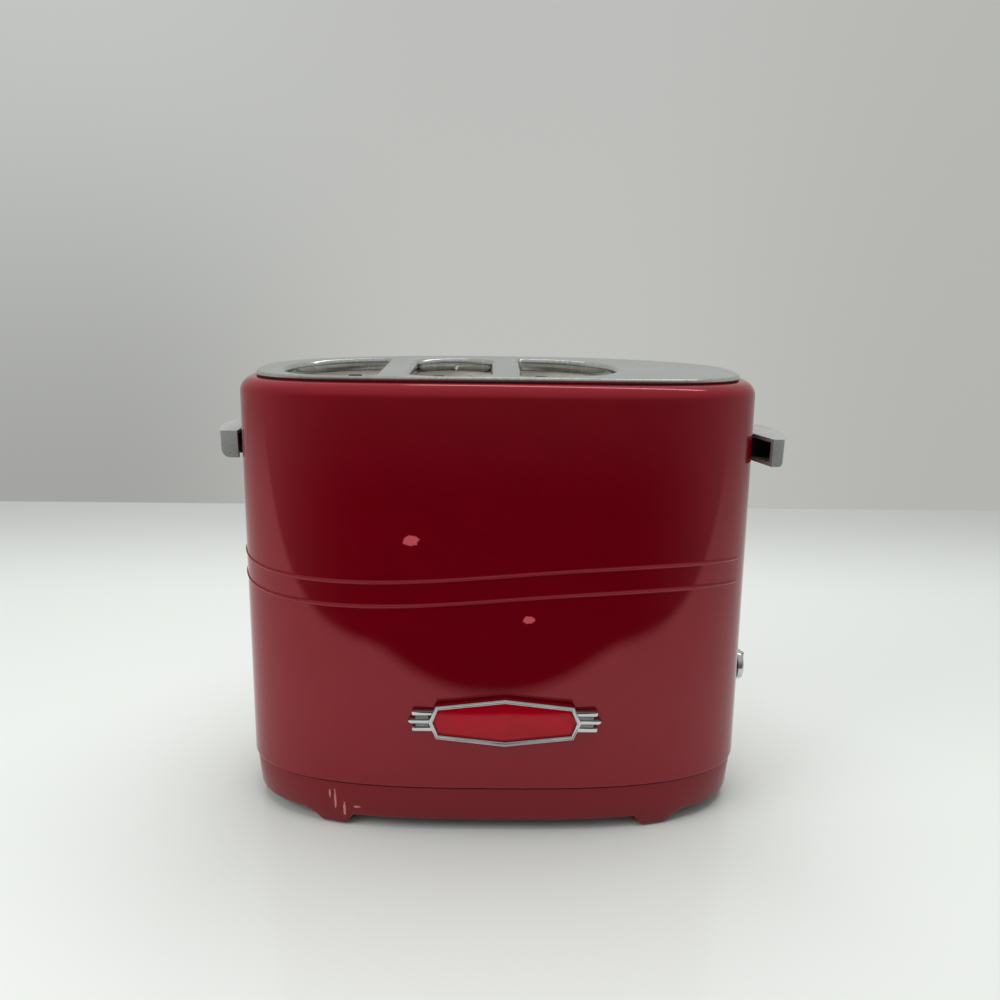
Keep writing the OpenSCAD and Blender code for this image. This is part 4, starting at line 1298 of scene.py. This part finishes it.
@dataclass
class Controls:
    """The dial and the stop button of the right end."""

    dial_r: float = 7.2
    dial_proud: float = 5.6
    button_r: float = 5.0

    def dial(self) -> None:
        """Make the dial: a turned disc on a neck, with a raised bar to hold it by."""
        back = FORM.half(DIAL_Z)[0] + 0.4
        r, d = self.dial_r, self.dial_proud - 1.2
        profile = [(3.02, 0), (r - 1.5, 0), (r - 1.3, 0.3), (r - 1.3, 1.0), (r - 0.35, 1.15), (r - 0.05, 1.45),
                   (r, 1.8), (r, d - 1.2), (r - 0.1, d - 0.7), (r - 0.5, d - 0.25), (r - 1.1, d), (r - 1.5, d),
                   (r - 1.9, d - 0.25), (r - 2.6, d - 0.3), (3.3, d - 0.1), (0.8, d), (0.8, d - 0.6), (3.02, d - 0.6)]
        disc = laid(turned(profile, 72), (1, 0, 0), (back, 0, DIAL_Z))
        bar = crate((back + 1.4, -1.15, DIAL_Z - r + 0.9), (back + self.dial_proud, 1.15, DIAL_Z + r - 0.9), 0.55, 3)
        shaft = laid(turned([(0, -1), (3.02, -1), (3.02, 3.8), (0, 3.8)], 48), (1, 0, 0), (back, 0, DIAL_Z))
        make("dial_disc", joined([disc, carve(bar, shaft)]), "dial", ["dial_knob"], CHROME, smooth=38)

    def button(self) -> None:
        """Make the stop button with its stem."""
        face = FORM.end_x(BUTTON_Y, DIAL_Z)
        r = self.button_r
        profile = [(0, -12), (1.8, -12), (2, -11.7), (2, -5), (r, -5), (r, 1.7), (r - 0.12, 2.2), (r - 0.5, 2.6),
                   (r - 1.0, 2.75), (r - 1.6, 2.6), (2.2, 2.42), (0, 2.36)]
        make("stop_cap", laid(turned(profile, 64), (1, 0, 0), (face, BUTTON_Y, DIAL_Z)), "button", ["stop_button"],
             CHROME, smooth=38)

    def build(self) -> None:
        """Make both controls."""
        self.dial()
        self.button()


@dataclass
class Works:
    """What can be glimpsed or taken out inside: springs, coil, screws and the plain sheet parts."""

    spring_x: tuple = (-101.0, 63.0)
    spring_y: float = -12.5
    spring_z: tuple = (124.3, 184.7)
    spring_r: float = 2.05
    wire_r: float = 0.45
    turns: int = 17
    wire_pitch: float = 0.5
    flange: float = 0.6
    coil: tuple = (77.5, -12.0, 23.2, 32.6)
    posts: tuple = ((-98.0, 18.0), (62.0, 28.0))

    def spring(self, x: float, name: str, node: str) -> None:
        """Make a coil spring at one length; in the toaster it stretches with the levers.

        Args:
            x: Where it stands.
            name: The piece's name.
            node: The CAD node that it stands for.
        """
        low, high = self.spring_z
        bm = bmesh.new()
        made = bmesh.ops.create_circle(bm, cap_ends=True, segments=8, radius=self.wire_r)
        upright = Matrix.Rotation(math.radians(90), 3, "X")
        bmesh.ops.rotate(bm, cent=(0, 0, 0), matrix=upright, verts=made["verts"])
        bmesh.ops.translate(bm, vec=(self.spring_r, 0, low + self.wire_r + 0.02), verts=bm.verts)
        steps = self.turns * 20
        climb = (high - low - 2 * self.wire_r - 0.04) / steps
        bmesh.ops.spin(bm, geom=bm.verts[:] + bm.edges[:] + bm.faces[:], cent=(0, 0, 0), axis=(0, 0, 1),
                       dvec=(0, 0, climb), angle=math.tau * self.turns, steps=steps)
        bmesh.ops.remove_doubles(bm, verts=bm.verts, dist=WELD)
        bmesh.ops.translate(bm, vec=(x, self.spring_y, 0), verts=bm.verts)
        piece = shown(name, bm, (BRIGHT_STEEL,))
        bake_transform(piece)
        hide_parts(node)
        LOG.info("%s: %d faces, stretches between housing and carriage", name, len(piece.data.polygons))

    def magnet_coil(self) -> None:
        """Make the wound coil between its two flanges."""
        x, y, low, high = self.coil
        profile = [(2.6, low), (5.2, low), (5.2, low + self.flange), (4.6, low + self.flange)]
        z, pitch = low + self.flange, self.wire_pitch
        while z + pitch <= high - self.flange:
            profile += [(4.85, z + 0.12 * pitch), (5.0, z + 0.5 * pitch), (4.85, z + 0.88 * pitch), (4.6, z + pitch)]
            z += pitch
        profile += [(5.2, high - self.flange), (5.2, high), (2.6, high)]
        make("magnet_winding", laid(turned(profile, 40), (0, 0, 1), (x, y, 0)), "housing", ["magnet_coil"], COPPER)

    def screws(self) -> None:
        """Make the four bottom screws with crossed recesses."""
        parts = []
        for x, reach in self.posts:
            for y in (-reach, reach):
                profile = [(0, 4.72), (1.6, 4.74), (2.5, 4.95), (2.9, 5.4), (3.0, 6.0), (3.0, 6.5), (1.5, 6.5),
                           (1.5, 22.6), (1.1, 23.0), (0, 23.0)]
                screw = laid(turned(profile, 32), (0, 0, 1), (x, y, 0))
                cross = joined([crate((x - 1.7, y - 0.4, 4), (x + 1.7, y + 0.4, 5.9))])
                cross = carve(cross, crate((x - 0.4, y - 1.7, 4), (x + 0.4, y + 1.7, 5.9)), "UNION")
                parts.append(carve(screw, cross))
        make("bottom_screw_set", joined(parts), "housing", ["bottom_screws"], BRIGHT_STEEL)

    def dress(self) -> None:
        """Give the CAD parts that keep their own mesh their finishes."""
        finishes = {
            "hot_dog_divider": LINER_STEEL, "bottom_cover": DARK_PLASTIC, "chassis_pan": ZINC,
            "chassis_end_left": ZINC, "chassis_end_right": ZINC, "guide_rods": BRIGHT_STEEL,
            "heater_board_left": MICA, "heater_board_right": MICA, "heater_ribbon_left": NICHROME,
            "heater_ribbon_right": NICHROME, "control_board": BOARD, "board_bracket": ZINC, "magnet_core": IRON,
            "timer_body": DARK_PLASTIC, "stop_switch": DARK_PLASTIC, "carriage_frame": ZINC, "slider_left": NYLON,
            "slider_right": NYLON, "bun_lift_left": LINER_STEEL, "hot_dog_lift": LINER_STEEL,
            # the lever arms' near-black finish is painted shade for the knobs' hollows
            "bun_lift_right": LINER_STEEL, "lever_arm_left": SHADE_DARK_STEEL, "lever_arm_right": SHADE_DARK_STEEL,
            "latch_plate": IRON, "dial_shaft": BRIGHT_STEEL, "crumb_tray": ZINC}
        for node, finish in finishes.items():
            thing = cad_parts[node]
            thing.data.materials.clear()
            thing.data.materials.append(finish.build())
            LOG.info("%s: CAD mesh, %s", node, finish.name)

    def build(self) -> None:
        """Make the springs, the coil and the screws, and dress the rest."""
        for x, name, node in zip(self.spring_x, ("left", "right"), ("return_spring_left", "return_spring_right")):
            self.spring(x, f"coil_spring_{name}", node)
        self.magnet_coil()
        self.screws()
        self.dress()


@dataclass
class Studio:
    """The pale table, the soft lamps, the room that the gloss mirrors, and the camera."""

    table: str = "#DEE1DE"
    # the far tone of the table is painted shade, where less light reaches the back
    table_back_shade: str = "#BFC1BE"
    back_y: float = 0.48
    front_y: float = -0.24
    reach: float = 1.5
    lens: float = 30.8
    eye: tuple = (-0.00207, -0.37568, 0.24311)
    pitch: float = 15.467
    yaw: float = 0.533
    roll: float = 0.689

    def table_top(self) -> None:
        """Make the table top, which ends at the back where the wall begins."""
        bm = bmesh.new()
        bmesh.ops.create_grid(bm, x_segments=1, y_segments=1, size=0.5)
        bmesh.ops.scale(bm, vec=(2 * self.reach, self.reach + self.back_y, 1), verts=bm.verts)
        bmesh.ops.translate(bm, vec=(0, (self.back_y - self.reach) / 2, -0.0001), verts=bm.verts)
        mesh = bpy.data.meshes.new("table_top")
        bm.to_mesh(mesh)
        bm.free()
        table = bpy.data.objects.new("table_top", mesh)
        bpy.context.scene.collection.objects.link(table)
        mesh.materials.append(self.laminate())

    def laminate(self) -> bpy.types.Material:
        """White laminate: a soft sheen that gives back a blurred picture of the toaster, with painted shade darkening
        it towards the back wall.
        """
        material = bpy.data.materials.new("Laminate, white satin")
        material.use_nodes = True
        tree = material.node_tree
        tree.nodes.clear()
        where = add(tree, "ShaderNodeTexCoord").outputs["Object"]
        split = add(tree, "ShaderNodeSeparateXYZ", {"Vector": where})
        # painted shade: the table's colour darkens towards the back wall
        far = add(tree, "ShaderNodeMapRange", {"Value": split.outputs["Y"], "From Min": 0.22,
                                               "From Max": self.back_y}, interpolation_type="SMOOTHSTEP")
        tone = add(tree, "ShaderNodeMix", {0: far.outputs["Result"]}, data_type="RGBA")
        tone.inputs[6].default_value, tone.inputs[7].default_value = linear(self.table), linear(self.table_back_shade)
        noise = add(tree, "ShaderNodeTexNoise", {"Vector": where, "Scale": 9.0, "Detail": 2.0})
        rough = add(tree, "ShaderNodeMapRange", {"Value": noise.outputs["Fac"], "To Min": 0.1, "To Max": 0.16})
        shader = add(tree, "ShaderNodeBsdfPrincipled", {"Base Color": tone.outputs[2],
                                                        "Roughness": rough.outputs["Result"], "IOR": 1.45})
        # the gloss of the toaster's front sees only the strip of table before it, and the room beyond
        aside = add(tree, "ShaderNodeMath", {0: split.outputs["X"]}, operation="ABSOLUTE")
        nearer = add(tree, "ShaderNodeMapRange", {"Value": aside.outputs[0], "From Max": 0.14, "To Min": -0.06,
                                                  "To Max": 0.0}, interpolation_type="SMOOTHSTEP")
        level = add(tree, "ShaderNodeMath", {0: split.outputs["Y"], 1: nearer.outputs["Result"]})
        beyond = add(tree, "ShaderNodeMapRange", {"Value": level.outputs[0], "From Min": self.front_y - 0.02,
                                                  "From Max": self.front_y, "To Min": 1.0, "To Max": 0.0})
        path = add(tree, "ShaderNodeLightPath")
        mirrored = add(tree, "ShaderNodeMath", {0: beyond.outputs["Result"], 1: path.outputs["Is Glossy Ray"]},
                       operation="MULTIPLY")
        clear = add(tree, "ShaderNodeBsdfTransparent")
        both = add(tree, "ShaderNodeMixShader", {0: mirrored.outputs[0], 1: shader.outputs[0], 2: clear.outputs[0]})
        add(tree, "ShaderNodeOutputMaterial", {"Surface": both.outputs[0]})
        return material

    def lamp(self, name: str, place: Sequence[float], aim: Sequence[float], size: Sequence[float],
             power: float, mirrored: bool = True) -> None:
        """Hang a soft rectangular lamp.

        Args:
            name: Its name.
            place: Where it hangs, in metres.
            aim: The point that it faces.
            size: Its width and height, in metres.
            power: Its power in watts.
            mirrored: Whether gloss shows it.
        """
        light = bpy.data.lights.new(name, "AREA")
        light.shape, light.size, light.size_y, light.energy = "RECTANGLE", size[0], size[1], power
        thing = bpy.data.objects.new(name, light)
        thing.location = place
        thing.rotation_euler = (Vector(aim) - Vector(place)).to_track_quat("-Z", "Y").to_euler()
        thing.visible_glossy = mirrored
        bpy.context.scene.collection.objects.link(thing)

    def blend(self, tree: bpy.types.NodeTree, share: bpy.types.NodeSocket, low: object,
              high: object) -> bpy.types.NodeSocket:
        """Mix two colours, each a hex code or a socket."""
        mix = add(tree, "ShaderNodeMix", {0: share}, data_type="RGBA")
        for number, value in ((6, low), (7, high)):
            if isinstance(value, str):
                mix.inputs[number].default_value = linear(value)
            else:
                tree.links.new(value, mix.inputs[number])
        return mix.outputs[2]

    def room(self) -> None:
        """Set the world: a pale wall to look at, and for the gloss a pale room with a dark middle in front."""
        world = bpy.data.worlds.new("room")
        bpy.context.scene.world = world
        world.use_nodes = True
        tree = world.node_tree
        tree.nodes.clear()
        way = add(tree, "ShaderNodeTexCoord").outputs["Generated"]
        split = add(tree, "ShaderNodeSeparateXYZ", {"Vector": way})

        def ramp(socket: bpy.types.NodeSocket, low: float, high: float) -> bpy.types.NodeSocket:
            node = add(tree, "ShaderNodeMapRange", {"Value": socket, "From Min": low, "From Max": high},
                       interpolation_type="SMOOTHSTEP")
            return node.outputs["Result"]

        x, y, z = (split.outputs[a] for a in "XYZ")
        aside = add(tree, "ShaderNodeMath", {0: x}, operation="ABSOLUTE").outputs[0]
        # ahead of the toaster: darkest low down, where the camera stands, and paler up and out
        low_front = self.blend(tree, ramp(z, -0.24, -0.1), "#191919", "#6A6A69")
        out = add(tree, "ShaderNodeMapRange", {"Value": aside, "From Min": 0.3, "From Max": 1.0})
        wide = add(tree, "ShaderNodeMath", {0: out.outputs["Result"], 1: 2.2}, operation="POWER")
        front = self.blend(tree, wide.outputs[0], low_front, "#BDBFBC")
        level = self.blend(tree, ramp(y, -0.35, 0.3), front, "#B9BBB8")
        dome = self.blend(tree, ramp(z, 0.1, 0.9), level, "#C9CBC9")
        # the wall that the camera sees, with painted shade down its left side, deepest low down
        wall_left = self.blend(tree, ramp(z, -0.28, 0.3), "#A3A4A1", "#C4C6C4")
        wall_right = self.blend(tree, ramp(z, -0.28, 0.3), "#B4B4B0", "#B7B8B4")
        wall_mid = self.blend(tree, ramp(z, -0.28, 0.3), "#C0C1BC", "#BEBFBC")
        wall = self.blend(tree, ramp(x, -0.42, -0.05), wall_left, wall_mid)
        wall = self.blend(tree, ramp(x, 0.1, 0.5), wall, wall_right)
        seen = add(tree, "ShaderNodeLightPath")
        shown = self.blend(tree, seen.outputs["Is Camera Ray"], dome, wall)
        background = add(tree, "ShaderNodeBackground", {"Color": shown, "Strength": 1.0})
        add(tree, "ShaderNodeOutputWorld", {"Surface": background.outputs[0]})

    def camera(self) -> None:
        """Set the camera where the photograph was taken from."""
        view = bpy.data.cameras.new("view")
        view.lens, view.sensor_width, view.sensor_fit = self.lens, 36.0, "HORIZONTAL"
        view.clip_start = 0.01
        t, p, r = (math.radians(a) for a in (self.pitch, self.yaw, self.roll))
        right = Vector((math.cos(p), -math.sin(p), 0))
        ahead = Vector((math.sin(p) * math.cos(t), math.cos(p) * math.cos(t), -math.sin(t)))
        up = Vector((math.sin(p) * math.sin(t), math.cos(p) * math.sin(t), math.cos(t)))
        x = math.cos(r) * right + math.sin(r) * up
        y = -math.sin(r) * right + math.cos(r) * up
        turn = Matrix((x, y, -ahead)).transposed().to_4x4()
        camera = bpy.data.objects.new("view", view)
        camera.matrix_world = Matrix.Translation(self.eye) @ turn
        bpy.context.scene.collection.objects.link(camera)
        bpy.context.scene.camera = camera

    def build(self) -> None:
        """Set up the whole studio."""
        scene = bpy.context.scene
        scene.view_settings.view_transform = "Standard"
        self.camera()
        self.table_top()
        self.room()
        self.lamp("overhead", (0.05, 0.05, 1.0), (0.0, 0.0, 0.1), (0.8, 0.7), 6.2, False)
        self.lamp("strip", (0.22, 0.35, 1.0), (0.0, 0.0, 0.1), (0.9, 0.09), 1.1)
        self.lamp("left", (-0.9, -0.5, 0.8), (0, 0, 0.1), (0.6, 0.6), 4.2, False)


def main() -> None:
    """Build the studio and every sub-assembly."""
    logging.basicConfig(level=logging.INFO, format="%(name)s %(message)s")
    for assembly in (
        Studio(), Casing(), Base(), TopPlate(), Liners(), Badge(), Gland(),
        Knob("left_lever_knob", "lever_knob_left", -1, 12.1, -10.0, 32.0, False, 3.6),
        Knob("right_lever_knob", "lever_knob_right", 1, 15.1, -18.0, 36.0, True, 1.6),
        Controls(), Works(),
    ):
        assembly.build()


if __name__ == "__main__":
    main()
